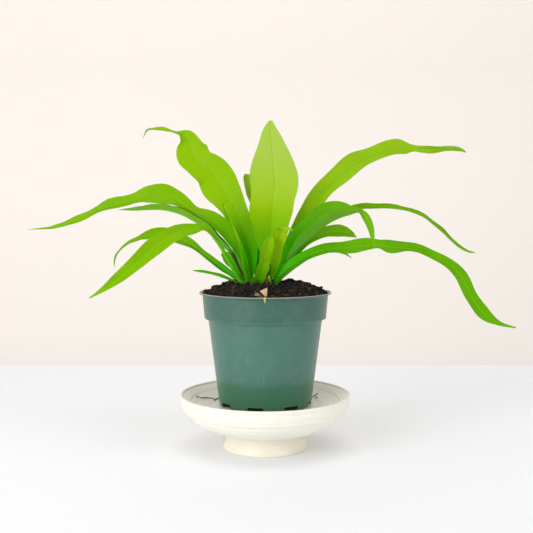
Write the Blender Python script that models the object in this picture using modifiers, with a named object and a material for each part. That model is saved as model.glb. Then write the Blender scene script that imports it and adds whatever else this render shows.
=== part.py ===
"""A young strap-leaved fern in its green nursery pot, standing in a cream footed dish.

Everything rests or grows on the piece below it: dish, pot, potting soil, crown, fronds.
Run with: blender --background --python part.py
"""

import math

import bmesh
import bpy
import numpy as np

MM = 0.001

# Footed dish: one turned piece, its foot on the table at z = 0.
DISH_HEIGHT = 45.0 * MM
DISH_LIP_RADIUS = 70.4 * MM
DISH_LIP_WIDTH = 2.6 * MM
DISH_DEPTH = 9.3 * MM
DISH_NECK_RADIUS = 30.8 * MM
DISH_NECK_HEIGHT = 14.0 * MM
DISH_FOOT_RADIUS = 35.0 * MM
DISH_FOOT_RECESS_RADIUS = 27.0 * MM
DISH_FOOT_RECESS_DEPTH = 3.0 * MM
DISH_FOOT_BEVEL = 1.0 * MM
DISH_FLOOR_MARGIN = 4.0 * MM

# Nursery pot: thin moulded plastic with a broad band under its lip and drain slots in its foot.
POT_HEIGHT = 93.0 * MM
POT_WALL = 1.2 * MM
POT_LIP_RADIUS = 54.2 * MM
POT_LIP_OVERHANG = 2.7 * MM
POT_LIP_HEIGHT = 1.4 * MM
POT_LIP_TAPER = 0.2 * MM
POT_LIP_UNDERCUT = 0.8 * MM
POT_BAND_HEIGHT = 21.5 * MM
POT_BAND_TAPER = 1.6 * MM
POT_BAND_STEP = 3.2 * MM
POT_BAND_CHAMFER = 0.4 * MM
POT_FOOT_RADIUS = 38.2 * MM
POT_FOOT_RING_HEIGHT = 5.0 * MM
POT_FOOT_RING_STEP = 0.6 * MM
POT_FOOT_RING_CHAMFER = 0.3 * MM
POT_FLOOR = 1.4 * MM
SLOT_COUNT = 8
SLOT_WIDTH = 13.0 * MM
SLOT_HEIGHT = 4.4 * MM
SLOT_REACH = 6.5 * MM
SLOT_CUTTER_OUTSIDE = 3.0 * MM
SLOT_CUTTER_BELOW = 2.0 * MM
SLOT_PHASE = math.radians(-57.0)

# Potting soil: fills the pot and is heaped in a low ring round the crown.
SOIL_HEAP_HEIGHT = 9.0 * MM
SOIL_HEAP_RADIUS = 28.0 * MM
SOIL_HOLLOW_DEPTH = 4.5 * MM
SOIL_HOLLOW_RADIUS = 19.0 * MM
SOIL_BELOW_LIP = 0.8 * MM

# Crown: the short root stock that carries the fronds, half sunk in the soil.
CROWN_CENTRE_X = -3.0 * MM
CROWN_HALF_LENGTH = 19.0 * MM
CROWN_HALF_WIDTH = 15.0 * MM
CROWN_HALF_HEIGHT = 4.6 * MM
CROWN_ABOVE_SOIL = 1.3 * MM

# Fronds: blade thickness at the margin, and what the midrib adds to it.
BLADE_THICKNESS = 0.7 * MM
MIDRIB_THICKNESS = 0.8 * MM
STATIONS_PER_SPAN = 2

# Air left between pieces that touch.
GAP = 0.3 * MM

ROUND_STEPS = 48

# Each frond: the direction it grows in, in degrees from +X towards +Y, then points along its midrib from
# root to tip. A point is x, y and z in mm from the middle of the crown's top, the blade's half width in mm,
# its roll about the midrib, and how far each half folds up from flat, both in degrees.
FRONDS = {
    "centre_frond": (80, (
        (5, 1, 4, 2.2, 0, 50),
        (5.5, 2, 19, 6, 0, 45),
        (6.5, 4, 35.5, 12, 0, 30),
        (8, 6, 49.5, 16.6, 0, 22),
        (8.5, 8, 59.5, 18.8, 0, 16),
        (9.5, 10, 70, 19, 0, 13),
        (11, 12, 82, 20.5, 0, 12),
        (10, 14, 92, 20, 0, 10),
        (9, 16, 103.5, 16.8, 0, 9),
        (8, 19, 116.5, 11.5, 0, 8),
        (7, 21, 127.5, 6.2, 0, 6),
        (7.5, 23, 136.5, 0.6, 0, 5),
    )),
    "upper_left_frond": (150, (
        (-9, 5, 3.5, 2.2, -50, 50),
        (-10, 9, 22, 8.6, -58, 40),
        (-14, 12, 41, 11.5, -62, 28),
        (-21.5, 13, 60.5, 11, -65, 20),
        (-28, 16, 72, 13.6, -65, 14),
        (-34.5, 19, 81.5, 16, -65, 10),
        (-41, 22, 92.5, 15, -65, 10),
        (-51.5, 25, 100.5, 12.8, -65, 10),
        (-59, 28, 110.5, 14, -65, 10),
        (-63, 31, 122, 7.4, -60, 20),
        (-73.5, 34, 128, 2.6, -30, 30),
        (-86, 37, 130.5, 1.9, -20, 25),
        (-97, 38, 130.5, 1.3, -20, 20),
        (-101.5, 38, 123.5, 0.4, -20, 10),
    )),
    "long_left_frond": (187, (
        (-10.5, -1, 2.5, 2.2, -30, 50),
        (-17.5, 0, 19.5, 6, -40, 45),
        (-26, 2, 35.5, 9, -50, 35),
        (-34.5, 4, 47.5, 8.8, -55, 25),
        (-45, 6, 56, 7.4, -45, 20),
        (-56, 8, 61, 6.8, -35, 15),
        (-65, 10, 66, 7.7, -45, 15),
        (-72.5, 12, 71, 8.3, -60, 15),
        (-82, 13, 74.5, 9.8, -65, 15),
        (-93, 14, 73.5, 8.5, -60, 15),
        (-105, 15, 70.5, 7, -45, 20),
        (-125.5, 18, 65, 6.5, -45, 25),
        (-137.5, 19, 61, 5, -45, 25),
        (-147, 20, 56.5, 4, -45, 25),
        (-159.5, 21, 51.5, 3.4, -45, 20),
        (-172.5, 22, 48, 2.8, -45, 20),
        (-180, 22.5, 46.5, 1.5, -30, 15),
        (-189, 23, 46, 0.7, -30, 10),
        (-197, 23, 45.5, 0.4, -20, 10),
    )),
    "under_left_frond": (178, (
        (-12, -7, 2, 1.6, -20, 50),
        (-18, -9, 14, 1.6, -20, 40),
        (-25, -8.5, 28, 2.4, -10, 45),
        (-34.5, -6, 36.5, 4.5, -5, 45),
        (-42.5, -2, 44.5, 5, -5, 50),
        (-52, 2.5, 52, 5.2, -5, 50),
        (-66.5, 5.5, 59.5, 5.2, -5, 45),
        (-80, 8, 63, 5, 0, 45),
        (-92.5, 10, 63.5, 4.5, 0, 35),
        (-104.5, 12, 63, 3, 0, 30),
        (-119, 14, 62, 0.5, 0, 10),
    )),
    "low_left_frond": (212, (
        (-16, -7, 1, 1.6, -30, 50),
        (-24, -12, 15.5, 2.2, -35, 40),
        (-31.5, -18, 30.5, 2.2, -40, 35),
        (-38.5, -23, 41, 2, -50, 30),
        (-43, -26, 46, 2.2, -60, 20),
        (-47, -28, 48, 2.8, -65, 12),
        (-53.5, -31, 47, 4.6, -65, 12),
        (-61.5, -35, 45.5, 5.8, -65, 12),
        (-70, -39, 42, 6.4, -65, 12),
        (-82.5, -44, 33.5, 7.3, -65, 12),
        (-94.5, -49, 22.5, 6, -65, 12),
        (-109, -54, 10, 4.2, -65, 10),
        (-120, -58, 1.5, 2, -65, 8),
        (-129.5, -60, -4.5, 0.5, -60, 5),
    )),
    "back_left_frond": (160, (
        (-14.5, 3, 0.5, 1.6, -20, 50),
        (-22, 7, 5.5, 2.6, -30, 40),
        (-31.5, 12, 11.5, 4.2, -40, 35),
        (-42, 18, 19.5, 3.4, -45, 25),
        (-52, 23, 27, 3.2, -45, 22),
        (-61.5, 28, 33, 4.8, -45, 20),
        (-74.5, 34, 38, 7, -45, 20),
        (-88, 40, 40.5, 7.4, -45, 20),
        (-98.5, 44, 39, 6.1, -45, 20),
        (-108.5, 47, 36.5, 3.4, -40, 20),
        (-117.5, 49, 32.5, 1.9, -40, 20),
        (-125, 51, 26.5, 1.5, -40, 20),
        (-129, 52, 20, 1.6, -40, 15),
        (-130, 53, 11.5, 0.5, -40, 10),
    )),
    "thin_left_frond": (190, (
        (-17, -2, 0.5, 1.2, -20, 30),
        (-25, -6, 5, 1.6, -30, 25),
        (-36, -10, 9.5, 1.9, -40, 20),
        (-46, -14, 12, 1.6, -40, 20),
        (-55, -17, 13.5, 0.4, -40, 10),
    )),
    "short_left_frond": (140, (
        (-12, 9, 0.5, 1.5, -50, 40),
        (-17, 13, 7.5, 3, -60, 25),
        (-22.5, 18, 16, 5, -65, 15),
        (-28, 21, 21.5, 5, -65, 12),
        (-33.5, 24, 25.5, 1.8, -65, 5),
    )),
    "young_curled_frond": (175, (
        (-12.5, -12, 3, 1.2, -40, 40),
        (-16, -14, 20, 1.6, -50, 35),
        (-20, -15, 38, 1.9, -60, 35),
        (-24.5, -16, 50.5, 2, -60, 35),
        (-29, -17, 61, 1.8, -60, 35),
        (-30, -17, 66, 1.4, -60, 30),
        (-28, -17, 68.5, 1.2, -60, 30),
        (-25, -17, 68.5, 1, -60, 30),
        (-24, -17, 66, 0.8, -60, 30),
        (-25, -17, 63, 0.4, -60, 20),
    )),
    "back_rolled_frond": (100, (
        (-3, 10, 3, 1.8, 0, 50),
        (-4, 15, 22, 4.8, 0, 45),
        (-6.5, 21, 45, 2.8, 0, 50),
        (-8, 27, 65, 3, 5, 45),
        (-10.5, 30, 74.5, 4.4, 10, 35),
        (-12.5, 32, 82.5, 4.9, 20, 30),
        (-13, 34, 88.5, 4.6, 20, 25),
        (-13, 35, 92.5, 2.2, 20, 20),
    )),
    "front_hooded_frond": (75, (
        (5, -13, 2, 1.8, 0, 50),
        (8, -13, 10.5, 4.5, 0, 40),
        (9, -16, 18.5, 6.3, 0, 30),
        (10.5, -19, 26.5, 6.8, 0, 25),
        (12.5, -22, 35, 6.2, 0, 22),
        (14.5, -26, 41.5, 6.2, 0, 20),
        (16.5, -29, 46, 5.5, 0, 20),
        (20.5, -32, 47.5, 3, 10, 20),
        (24.5, -34, 46, 0.5, 10, 10),
    )),
    "front_short_frond": (110, (
        (-3, -13.5, 1.5, 3.2, 0, 30),
        (-4, -19, 6, 6.6, 0, 20),
        (-1, -22, 11, 4.9, 0, 20),
        (0.5, -25, 16.5, 5.8, 0, 20),
        (2, -27, 22, 4.8, 0, 20),
        (2.5, -29, 27, 5.2, 0, 18),
        (4.5, -31, 33, 5, 0, 16),
        (6.5, -32, 38.5, 3.6, 0, 14),
        (8.5, -32, 42.5, 0.5, 0, 10),
    )),
    "upper_right_frond": (20, (
        (11, 5, 4, 2.2, 40, 50),
        (19.5, 8, 23.5, 5, 50, 45),
        (29.5, 12, 43.5, 6.5, 55, 30),
        (39, 16, 58.5, 8.5, 50, 25),
        (49, 21, 73, 9, 50, 27),
        (63.5, 26, 87.5, 10.1, 50, 25),
        (78, 31, 99, 10.6, 50, 25),
        (93.5, 36, 107.5, 8.4, 50, 25),
        (106, 39, 112, 9.1, 50, 22),
        (118.5, 42, 114, 8.8, 52, 20),
        (129.5, 44, 115, 3.4, 70, 15),
        (138.5, 46, 114.5, 3.2, 120, 15),
        (153.5, 49, 115.5, 4.9, 150, 20),
        (166, 52, 116, 4.4, 160, 20),
        (174, 53.5, 114.5, 2.4, 160, 15),
        (178.5, 54, 112, 0.4, 160, 10),
    )),
    "right_bent_frond": (-15, (
        (14, -6, 4, 2.2, 30, 50),
        (20.5, -9, 18.5, 6, 38, 50),
        (28.5, -13, 31.5, 10.5, 38, 50),
        (38, -18, 40.5, 14, 36, 53),
        (49.5, -23, 50, 15, 34, 53),
        (60.5, -27, 56.5, 14, 30, 50),
        (69.5, -31, 59.5, 7.8, 22, 45),
        (75, -33, 61, 2.6, 30, 30),
        (81, -37, 56, 3.1, 70, 15),
        (84.5, -40, 48, 2.6, 80, 12),
        (86, -42, 39.5, 1.4, 80, 10),
        (87.5, -43, 32.5, 0.4, 80, 5),
    )),
    "thin_right_frond": (30, (
        (11, 11, 4.5, 1.8, 30, 50),
        (21, 19, 21.5, 3.5, 40, 40),
        (37, 29, 38, 4.5, 40, 35),
        (57, 38, 53.5, 5, 30, 35),
        (78.5, 45, 62.5, 4, 30, 30),
        (99, 49, 64.5, 3.8, 40, 25),
        (121.5, 55, 63.5, 2.8, 40, 25),
        (142.5, 60, 57, 2.6, 40, 25),
        (160, 63, 44, 2.8, 45, 20),
        (174.5, 65, 30.5, 2.2, 50, 20),
        (184, 66, 25, 1.4, 60, 15),
        (190.5, 66, 24, 0.4, 60, 10),
    )),
    "short_right_frond": (35, (
        (14.5, 3, 2, 1.5, 20, 50),
        (21, 7, 14, 3, 30, 40),
        (30, 13, 26.5, 3.8, 40, 35),
        (40, 20, 36, 4, 50, 30),
        (53.5, 28, 42.5, 5.2, 60, 20),
        (67, 36, 43.5, 5.9, 65, 15),
        (77, 41, 41, 3.6, 65, 15),
        (82, 43, 38, 0.4, 60, 10),
    )),
    "long_right_frond": (-8, (
        (10, -11.5, 1.5, 2, 30, 50),
        (18.5, -17, 12.5, 4.8, 40, 40),
        (31.5, -18, 22, 5.4, 45, 35),
        (49.5, -17, 30, 5.4, 50, 15),
        (67.5, -17, 31.5, 6.4, 50, 12),
        (85, -17, 33.5, 6.2, 50, 12),
        (94, -17, 34, 5, 50, 12),
        (102.5, -17, 32.5, 6.9, 50, 12),
        (118, -17, 30.5, 6, 34, 20),
        (133, -18, 27, 4.5, 55, 30),
        (147.5, -19, 20, 4.5, 70, 20),
        (159.5, -20, 8.5, 5.1, 75, 15),
        (167.5, -21, -7.5, 5.4, 75, 12),
        (177, -22, -20.5, 5.2, 70, 12),
        (189.5, -22.5, -28.5, 2.2, 60, 12),
        (203, -23, -32, 0.5, 60, 10),
    )),
    "low_back_right_frond": (28, (
        (11.5, -2.5, 0.5, 1.2, 20, 40),
        (23.5, 3, 12, 2.2, 40, 30),
        (36, 10, 21, 2.6, 50, 25),
        (50.5, 17, 26.5, 2.8, 50, 20),
        (62.5, 23, 27.5, 2.4, 55, 15),
        (70.5, 27, 25, 1.4, 55, 15),
        (76.5, 29, 21, 0.4, 50, 10),
    )),
}

# Rootlets washed out of the drain slots onto the dish's floor. A point is an angle in degrees from +X, and
# a share of the way from the pot's foot to the dish's lip.
ROOTLETS = {
    "loose_rootlet_1": ((168.5, 0.59), (164.5, 0.52), (160.5, 0.43), (158.0, 0.29)),
    "loose_rootlet_2": ((168.0, 0.71), (169.5, 0.65), (166.5, 0.65)),
    "loose_rootlet_3": ((164.5, 0.22), (159.5, 0.22), (153.0, 0.20)),
    "loose_rootlet_4": ((31.0, 0.28), (32.5, 0.40), (34.5, 0.56)),
    "loose_rootlet_5": ((26.0, 0.29), (24.5, 0.36)),
}
ROOTLET_RADIUS = 0.45 * MM

# Stub of a dead frond and a tiny bud. A point is x, y, z from the middle of the crown's top, and a radius,
# all in mm.
DEAD_STIPE = (
    (4.3, -17.0, 0.5, 1.7),
    (4.6, -17.5, 4.0, 1.8),
    (5.4, -18.5, 9.5, 1.2),
    (7.0, -20.5, 18.5, 0.3),
)
TINY_BUD = (
    (7.6, -16.5, 0.8, 0.8),
    (7.4, -19.5, 3.5, 0.7),
    (6.2, -22.6, 7.6, 0.9),
    (5.8, -23.2, 9.6, 0.6),
)

# Chips on the soil and the lip. An outline is in mm, before the chip is tilted where it lies; the inset is
# from the soil's edge, and a lift or a drop from the surface beneath.
CHIP_INSET = 2.2 * MM
WOOD_CHIP = ((-3.4, 0.8), (2.4, 3.4), (2.2, -3.5), (0.4, -3.1))
WOOD_CHIP_THICKNESS = 0.8 * MM
WOOD_CHIP_X = -0.8 * MM
WOOD_CHIP_LIFT = 3.8 * MM
WOOD_CHIP_TILT = (math.radians(82.0), 0.0, math.radians(6.0))
BARK_SLIVER = ((-1.2, 2.0), (1.1, 2.0), (0.4, -2.2), (-0.3, -2.4))
SLIVER_THICKNESS = 0.5 * MM
SLIVER_X = -0.3 * MM
SLIVER_DROP = 1.4 * MM
SLIVER_TILT = (math.radians(90.0), 0.0, 0.0)
LEAF_SCRAP = ((-2.0, -0.9), (1.6, -1.2), (2.0, 0.6), (0.2, 1.6), (-1.7, 0.9))
SCRAP_THICKNESS = 0.7 * MM
SCRAP_X = -6.3 * MM
SCRAP_LIFT = 1.8 * MM
SCRAP_TILT = (math.radians(60.0), 0.0, 0.0)


def clear_scene():
    for obj in list(bpy.data.objects):
        bpy.data.objects.remove(obj, do_unlink=True)


def new_collection(name, hidden=False):
    collection = bpy.data.collections.new(name)
    bpy.context.scene.collection.children.link(collection)
    collection.hide_render = hidden
    return collection


def make_material(name, colour, roughness):
    material = bpy.data.materials.new(name)
    material.use_nodes = True
    shader = material.node_tree.nodes["Principled BSDF"]
    shader.inputs["Base Color"].default_value = (*colour, 1.0)
    shader.inputs["Roughness"].default_value = roughness
    shader.inputs["Metallic"].default_value = 0.0
    return material


def add_object(name, data, collection, material=None):
    obj = bpy.data.objects.new(name, data)
    collection.objects.link(obj)
    if material:
        data.materials.append(material)
    return obj


def profile_mesh(name, points):
    mesh = bpy.data.meshes.new(name)
    edges = [(i, i + 1) for i in range(len(points) - 1)]
    mesh.from_pydata([(radius, 0.0, z) for radius, z in points], edges, [])
    return mesh


def add_turned(name, points, collection, material):
    """A solid turned about the Z axis, from a profile whose two ends lie on the axis."""
    obj = add_object(name, profile_mesh(name, points), collection, material)
    screw = obj.modifiers.new("turn", "SCREW")
    screw.axis = "Z"
    screw.angle = math.tau
    screw.steps = ROUND_STEPS
    screw.render_steps = ROUND_STEPS
    screw.use_merge_vertices = True
    screw.merge_threshold = 0.00001
    screw.use_smooth_shade = True
    return obj


def arc(centre, radius, start, end, count):
    """Points on an arc in the profile plane, with angles in degrees from the +X side."""
    angles = np.radians(np.linspace(start, end, count))
    return [(centre[0] + radius * math.cos(a), centre[1] + radius * math.sin(a)) for a in angles]


# ---------------------------------------------------------------- dish


def dish_floor_z():
    return DISH_HEIGHT - DISH_DEPTH


def dish_inner_profile():
    """The inside from the axis out to the lip: a flat floor, then a rising curve."""
    floor_radius = POT_FOOT_RADIUS + DISH_FLOOR_MARGIN
    lip_radius = DISH_LIP_RADIUS - DISH_LIP_WIDTH
    points = [(0.0, dish_floor_z())]
    for share in np.linspace(0.0, 1.0, 6):
        radius = floor_radius + (lip_radius - floor_radius) * share
        points.append((radius, dish_floor_z() + (DISH_DEPTH - DISH_LIP_WIDTH / 2) * share**2.0))
    return points


def dish_height_at(radius):
    """Height of the dish's inside at this distance from the axis."""
    radii, heights = zip(*dish_inner_profile())
    return float(np.interp(radius, radii, heights))


def dish_profile():
    lip_middle = (DISH_LIP_RADIUS - DISH_LIP_WIDTH / 2, DISH_HEIGHT - DISH_LIP_WIDTH / 2)
    lip = arc(lip_middle, DISH_LIP_WIDTH / 2, 120.0, -30.0, 5)
    bowl_top = DISH_HEIGHT - DISH_LIP_WIDTH
    bowl = []
    for share in np.linspace(0.13, 1.0, 7):
        turn = share * math.pi / 2
        radius = DISH_NECK_RADIUS + (DISH_LIP_RADIUS - DISH_NECK_RADIUS) * math.cos(turn) ** 0.95
        height = DISH_NECK_HEIGHT + (bowl_top - DISH_NECK_HEIGHT) * (1.0 - math.sin(turn)) ** 0.8
        bowl.append((radius, height))
    foot_spread = DISH_FOOT_RADIUS - DISH_NECK_RADIUS
    foot = []
    for share in (0.3, 0.6, 0.85):
        height = DISH_NECK_HEIGHT * (1.0 - share)
        foot.append((DISH_NECK_RADIUS + foot_spread * share**1.3, height))
    foot.append((DISH_FOOT_RADIUS, DISH_FOOT_BEVEL))
    foot.append((DISH_FOOT_RADIUS - DISH_FOOT_BEVEL, 0.0))
    recess_top = (DISH_FOOT_RECESS_RADIUS - DISH_FOOT_BEVEL, DISH_FOOT_RECESS_DEPTH)
    recess = [(DISH_FOOT_RECESS_RADIUS, 0.0), recess_top, (0.0, DISH_FOOT_RECESS_DEPTH)]
    return dish_inner_profile() + lip + bowl + foot + recess


def build_dish(parts):
    material = make_material("cream_glazed_earthenware", (0.85, 0.81, 0.70), 0.55)
    add_turned("footed_dish", dish_profile(), parts, material)


# ---------------------------------------------------------------- pot


def pot_base_z():
    return dish_floor_z() + GAP


def pot_lip_z():
    return pot_base_z() + POT_HEIGHT


def pot_band_bottom_z():
    return pot_lip_z() - POT_BAND_HEIGHT


def pot_band_top_radius():
    return POT_LIP_RADIUS - POT_LIP_OVERHANG


def pot_band_bottom_radius():
    return pot_band_top_radius() - POT_BAND_TAPER


def pot_wall_top_radius():
    return pot_band_bottom_radius() - POT_BAND_STEP


def pot_inner_profile():
    """The inside from the floor's edge up to the lip."""
    return [
        (POT_FOOT_RADIUS - POT_WALL, pot_base_z() + POT_FLOOR),
        (pot_wall_top_radius() - POT_WALL, pot_band_bottom_z() + POT_WALL),
        (pot_band_bottom_radius() - POT_WALL, pot_band_bottom_z() + POT_WALL),
        (pot_band_top_radius() - POT_WALL, pot_lip_z() - POT_LIP_HEIGHT - POT_WALL),
        (POT_LIP_RADIUS - POT_WALL - POT_LIP_TAPER, pot_lip_z()),
    ]


def pot_outer_profile():
    """The outside from the lip down to the foot."""
    lip_z, base_z, band_z = pot_lip_z(), pot_base_z(), pot_band_bottom_z()
    foot_ring_z = base_z + POT_FOOT_RING_HEIGHT
    draft = (pot_wall_top_radius() - POT_FOOT_RADIUS) / (band_z - base_z)
    ring_radius = POT_FOOT_RADIUS + draft * POT_FOOT_RING_HEIGHT
    return [
        (POT_LIP_RADIUS, lip_z),
        (POT_LIP_RADIUS, lip_z - POT_LIP_HEIGHT),
        (pot_band_top_radius(), lip_z - POT_LIP_HEIGHT - POT_LIP_UNDERCUT),
        (pot_band_bottom_radius(), band_z),
        (pot_wall_top_radius(), band_z - POT_BAND_CHAMFER),
        (ring_radius, foot_ring_z + POT_FOOT_RING_CHAMFER),
        (ring_radius - POT_FOOT_RING_STEP, foot_ring_z - POT_FOOT_RING_CHAMFER),
        (POT_FOOT_RADIUS - POT_FOOT_RING_STEP, base_z),
    ]


def build_pot(parts, cutters):
    material = make_material("green_polypropylene", (0.10, 0.24, 0.18), 0.5)
    inside = [(0.0, pot_base_z() + POT_FLOOR)] + pot_inner_profile()
    profile = inside + pot_outer_profile() + [(0.0, pot_base_z())]
    pot = add_turned("nursery_pot", profile, parts, material)
    for index in range(SLOT_COUNT):
        angle = SLOT_PHASE + index * math.tau / SLOT_COUNT
        cut_slot(pot, angle, index, cutters)


def cut_slot(pot, angle, index, cutters):
    """One drain slot, through the foot ring and the rim of the floor."""
    length = SLOT_REACH + SLOT_CUTTER_OUTSIDE
    height = SLOT_HEIGHT + SLOT_CUTTER_BELOW
    middle = POT_FOOT_RADIUS + SLOT_CUTTER_OUTSIDE - length / 2
    bpy.ops.mesh.primitive_cube_add(size=1.0)
    cutter = bpy.context.object
    cutter.name = f"slot_cutter_{index + 1}"
    cutter.scale = (length, SLOT_WIDTH, height)
    cutter.location = (
        middle * math.cos(angle),
        middle * math.sin(angle),
        pot_base_z() + SLOT_HEIGHT - height / 2,
    )
    cutter.rotation_euler = (0.0, 0.0, angle)
    for collection in list(cutter.users_collection):
        collection.objects.unlink(cutter)
    cutters.objects.link(cutter)
    cutter.hide_render = True
    cutter.display_type = "WIRE"
    boolean = pot.modifiers.new(f"slot_{index + 1}", "BOOLEAN")
    boolean.operation = "DIFFERENCE"
    boolean.object = cutter


# ---------------------------------------------------------------- soil and crown


def soil_edge():
    """Where the soil's surface meets the pot: radius and height."""
    height = pot_lip_z() - SOIL_BELOW_LIP
    radii, heights = zip(*pot_inner_profile())
    return float(np.interp(height, heights[-2:], radii[-2:])) - GAP, height


def soil_height_at(radius):
    """Height of the soil's surface: a low ring heap round a shallow hollow."""
    edge_radius, edge_z = soil_edge()
    top = edge_z + SOIL_HEAP_HEIGHT
    if radius < SOIL_HOLLOW_RADIUS:
        return top - SOIL_HOLLOW_DEPTH
    if radius < SOIL_HEAP_RADIUS:
        share = (radius - SOIL_HOLLOW_RADIUS) / (SOIL_HEAP_RADIUS - SOIL_HOLLOW_RADIUS)
        return top - SOIL_HOLLOW_DEPTH * (0.5 + 0.5 * math.cos(math.pi * share))
    share = (radius - SOIL_HEAP_RADIUS) / (edge_radius - SOIL_HEAP_RADIUS)
    return top - SOIL_HEAP_HEIGHT * share**1.25


def soil_profile():
    edge_radius, edge_z = soil_edge()
    top = [(0.0, soil_height_at(0.0))]
    for radius in np.linspace(SOIL_HOLLOW_RADIUS, edge_radius, 9):
        top.append((float(radius), soil_height_at(float(radius))))
    side = []
    for radius, height in reversed(pot_inner_profile()[:-1]):
        side.append((radius - GAP, height + GAP))
    return top + side + [(0.0, pot_base_z() + POT_FLOOR + GAP)]


def crown_top_z():
    return soil_height_at(0.0) + CROWN_ABOVE_SOIL


def add_ellipsoid(name, radii, centre, segments, rings):
    bpy.ops.mesh.primitive_uv_sphere_add(segments=segments, ring_count=rings, radius=1.0)
    obj = bpy.context.object
    obj.name = name
    obj.scale = radii
    obj.location = centre
    for collection in list(obj.users_collection):
        collection.objects.unlink(obj)
    return obj


def build_soil_and_crown(parts, cutters):
    soil_material = make_material("potting_soil", (0.030, 0.020, 0.014), 0.95)
    crown_material = make_material("crown_fibre", (0.055, 0.035, 0.020), 0.9)
    soil = add_turned("potting_soil", soil_profile(), parts, soil_material)
    centre = (CROWN_CENTRE_X, 0.0, crown_top_z() - CROWN_HALF_HEIGHT)
    radii = (CROWN_HALF_LENGTH, CROWN_HALF_WIDTH, CROWN_HALF_HEIGHT)
    crown = add_ellipsoid("crown", radii, centre, 24, 10)
    parts.objects.link(crown)
    crown.data.materials.append(crown_material)
    socket_radii = tuple(radius + GAP for radius in radii)
    socket = add_ellipsoid("crown_socket_cutter", socket_radii, centre, 24, 10)
    cutters.objects.link(socket)
    socket.hide_render = True
    socket.display_type = "WIRE"
    boolean = soil.modifiers.new("crown_socket", "BOOLEAN")
    boolean.operation = "DIFFERENCE"
    boolean.object = socket


# ---------------------------------------------------------------- fronds


def smooth_path(rows, count):
    """A Catmull-Rom curve through the rows, evenly spaced between them."""
    rows = np.asarray(rows, float)
    spans = len(rows) - 1
    ends = np.vstack([2 * rows[0] - rows[1], rows, 2 * rows[-1] - rows[-2]])
    place = np.linspace(0.0, spans, count)
    span = np.minimum(place.astype(int), spans - 1)
    t = (place - span)[:, None]
    before, start, end, after = (ends[span + step] for step in range(4))
    return 0.5 * (
        2 * start
        + (end - before) * t
        + (2 * before - 5 * start + 4 * end - after) * t**2
        + (3 * start - before - 3 * end + after) * t**3
    )


def unit(vectors):
    return vectors / np.linalg.norm(vectors, axis=-1, keepdims=True)


def blade_frames(direction, rows):
    """Midrib points with the blade's sideways vector at each, rolled about the midrib."""
    rows = np.asarray(rows, float)
    points = rows[:, :3] * MM
    along = unit(np.gradient(points, axis=0))
    angle = math.radians(direction)
    level = np.array([-math.sin(angle), math.cos(angle), 0.0])
    side = unit(level - (along @ level)[:, None] * along)
    roll = np.radians(rows[:, 4])[:, None]
    side = side * np.cos(roll) + np.cross(along, side) * np.sin(roll)
    return np.hstack([points, side, rows[:, 3:4] * MM, rows[:, 5:6]])


def frond_rings(direction, rows):
    """Closed rings of points round the blade, from root to tip."""
    path = smooth_path(blade_frames(direction, rows), (len(rows) - 1) * STATIONS_PER_SPAN + 1)
    points, side = path[:, :3], path[:, 3:6]
    half_width = np.maximum(path[:, 6], 0.3 * MM)
    fold = np.radians(path[:, 7])
    along = unit(np.gradient(points, axis=0))
    side = unit(side - (side * along).sum(axis=1)[:, None] * along)
    face = np.cross(along, side)
    across = np.linspace(-1.0, 1.0, 5)[None, :, None]
    reach = (half_width * np.cos(fold))[:, None, None]
    lift = (half_width * np.sin(fold))[:, None, None]
    upper = points[:, None] + side[:, None] * across * reach + face[:, None] * abs(across) * lift
    slim = np.minimum(half_width / (3.0 * MM), 1.0)[:, None, None]
    thickness = slim * (BLADE_THICKNESS + MIDRIB_THICKNESS * (1.0 - abs(across)) ** 2)
    lower = upper - face[:, None] * thickness
    return np.concatenate([upper, lower[:, ::-1]], axis=1)


def loft_mesh(name, rings):
    """A closed mesh through the rings, capped at both ends."""
    build = bmesh.new()
    grid = [[build.verts.new(point) for point in ring] for ring in rings]
    count = len(grid[0])
    for ring, following in zip(grid, grid[1:]):
        for i in range(count):
            j = (i + 1) % count
            build.faces.new((ring[i], ring[j], following[j], following[i]))
    build.faces.new(list(reversed(grid[0])))
    build.faces.new(grid[-1])
    bmesh.ops.recalc_face_normals(build, faces=build.faces)
    mesh = bpy.data.meshes.new(name)
    build.to_mesh(mesh)
    build.free()
    mesh.shade_smooth()
    return mesh


def build_fronds(parts):
    origin = np.array([CROWN_CENTRE_X, 0.0, crown_top_z()])
    for name, (direction, rows) in FRONDS.items():
        material = make_material(name + "_blade", (0.30, 0.52, 0.02), 0.45)
        rings = frond_rings(direction, rows) + origin
        add_object(name, loft_mesh(name, rings), parts, material)


# ---------------------------------------------------------------- small bits


def add_tube(name, points, radii, collection, material):
    """A tapering tube along the points."""
    curve = bpy.data.curves.new(name, "CURVE")
    curve.dimensions = "3D"
    curve.bevel_depth = 1.0
    curve.bevel_resolution = 1
    curve.use_fill_caps = True
    spline = curve.splines.new("POLY")
    spline.points.add(len(points) - 1)
    for place, point, radius in zip(spline.points, points, radii):
        place.co = (*point, 1.0)
        place.radius = radius
    return add_object(name, curve, collection, material)


def build_rootlets(parts):
    material = make_material("dry_rootlet", (0.16, 0.07, 0.045), 0.9)
    floor_width = DISH_LIP_RADIUS - DISH_LIP_WIDTH - POT_FOOT_RADIUS
    for name, places in ROOTLETS.items():
        points = []
        for degrees, share in smooth_path(places, 2 * len(places) - 1):
            angle = math.radians(degrees)
            radius = POT_FOOT_RADIUS + floor_width * share
            height = dish_height_at(radius + ROOTLET_RADIUS) + ROOTLET_RADIUS + GAP
            points.append((radius * math.cos(angle), radius * math.sin(angle), height))
        add_tube(name, points, [ROOTLET_RADIUS] * len(points), parts, material)


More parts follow.
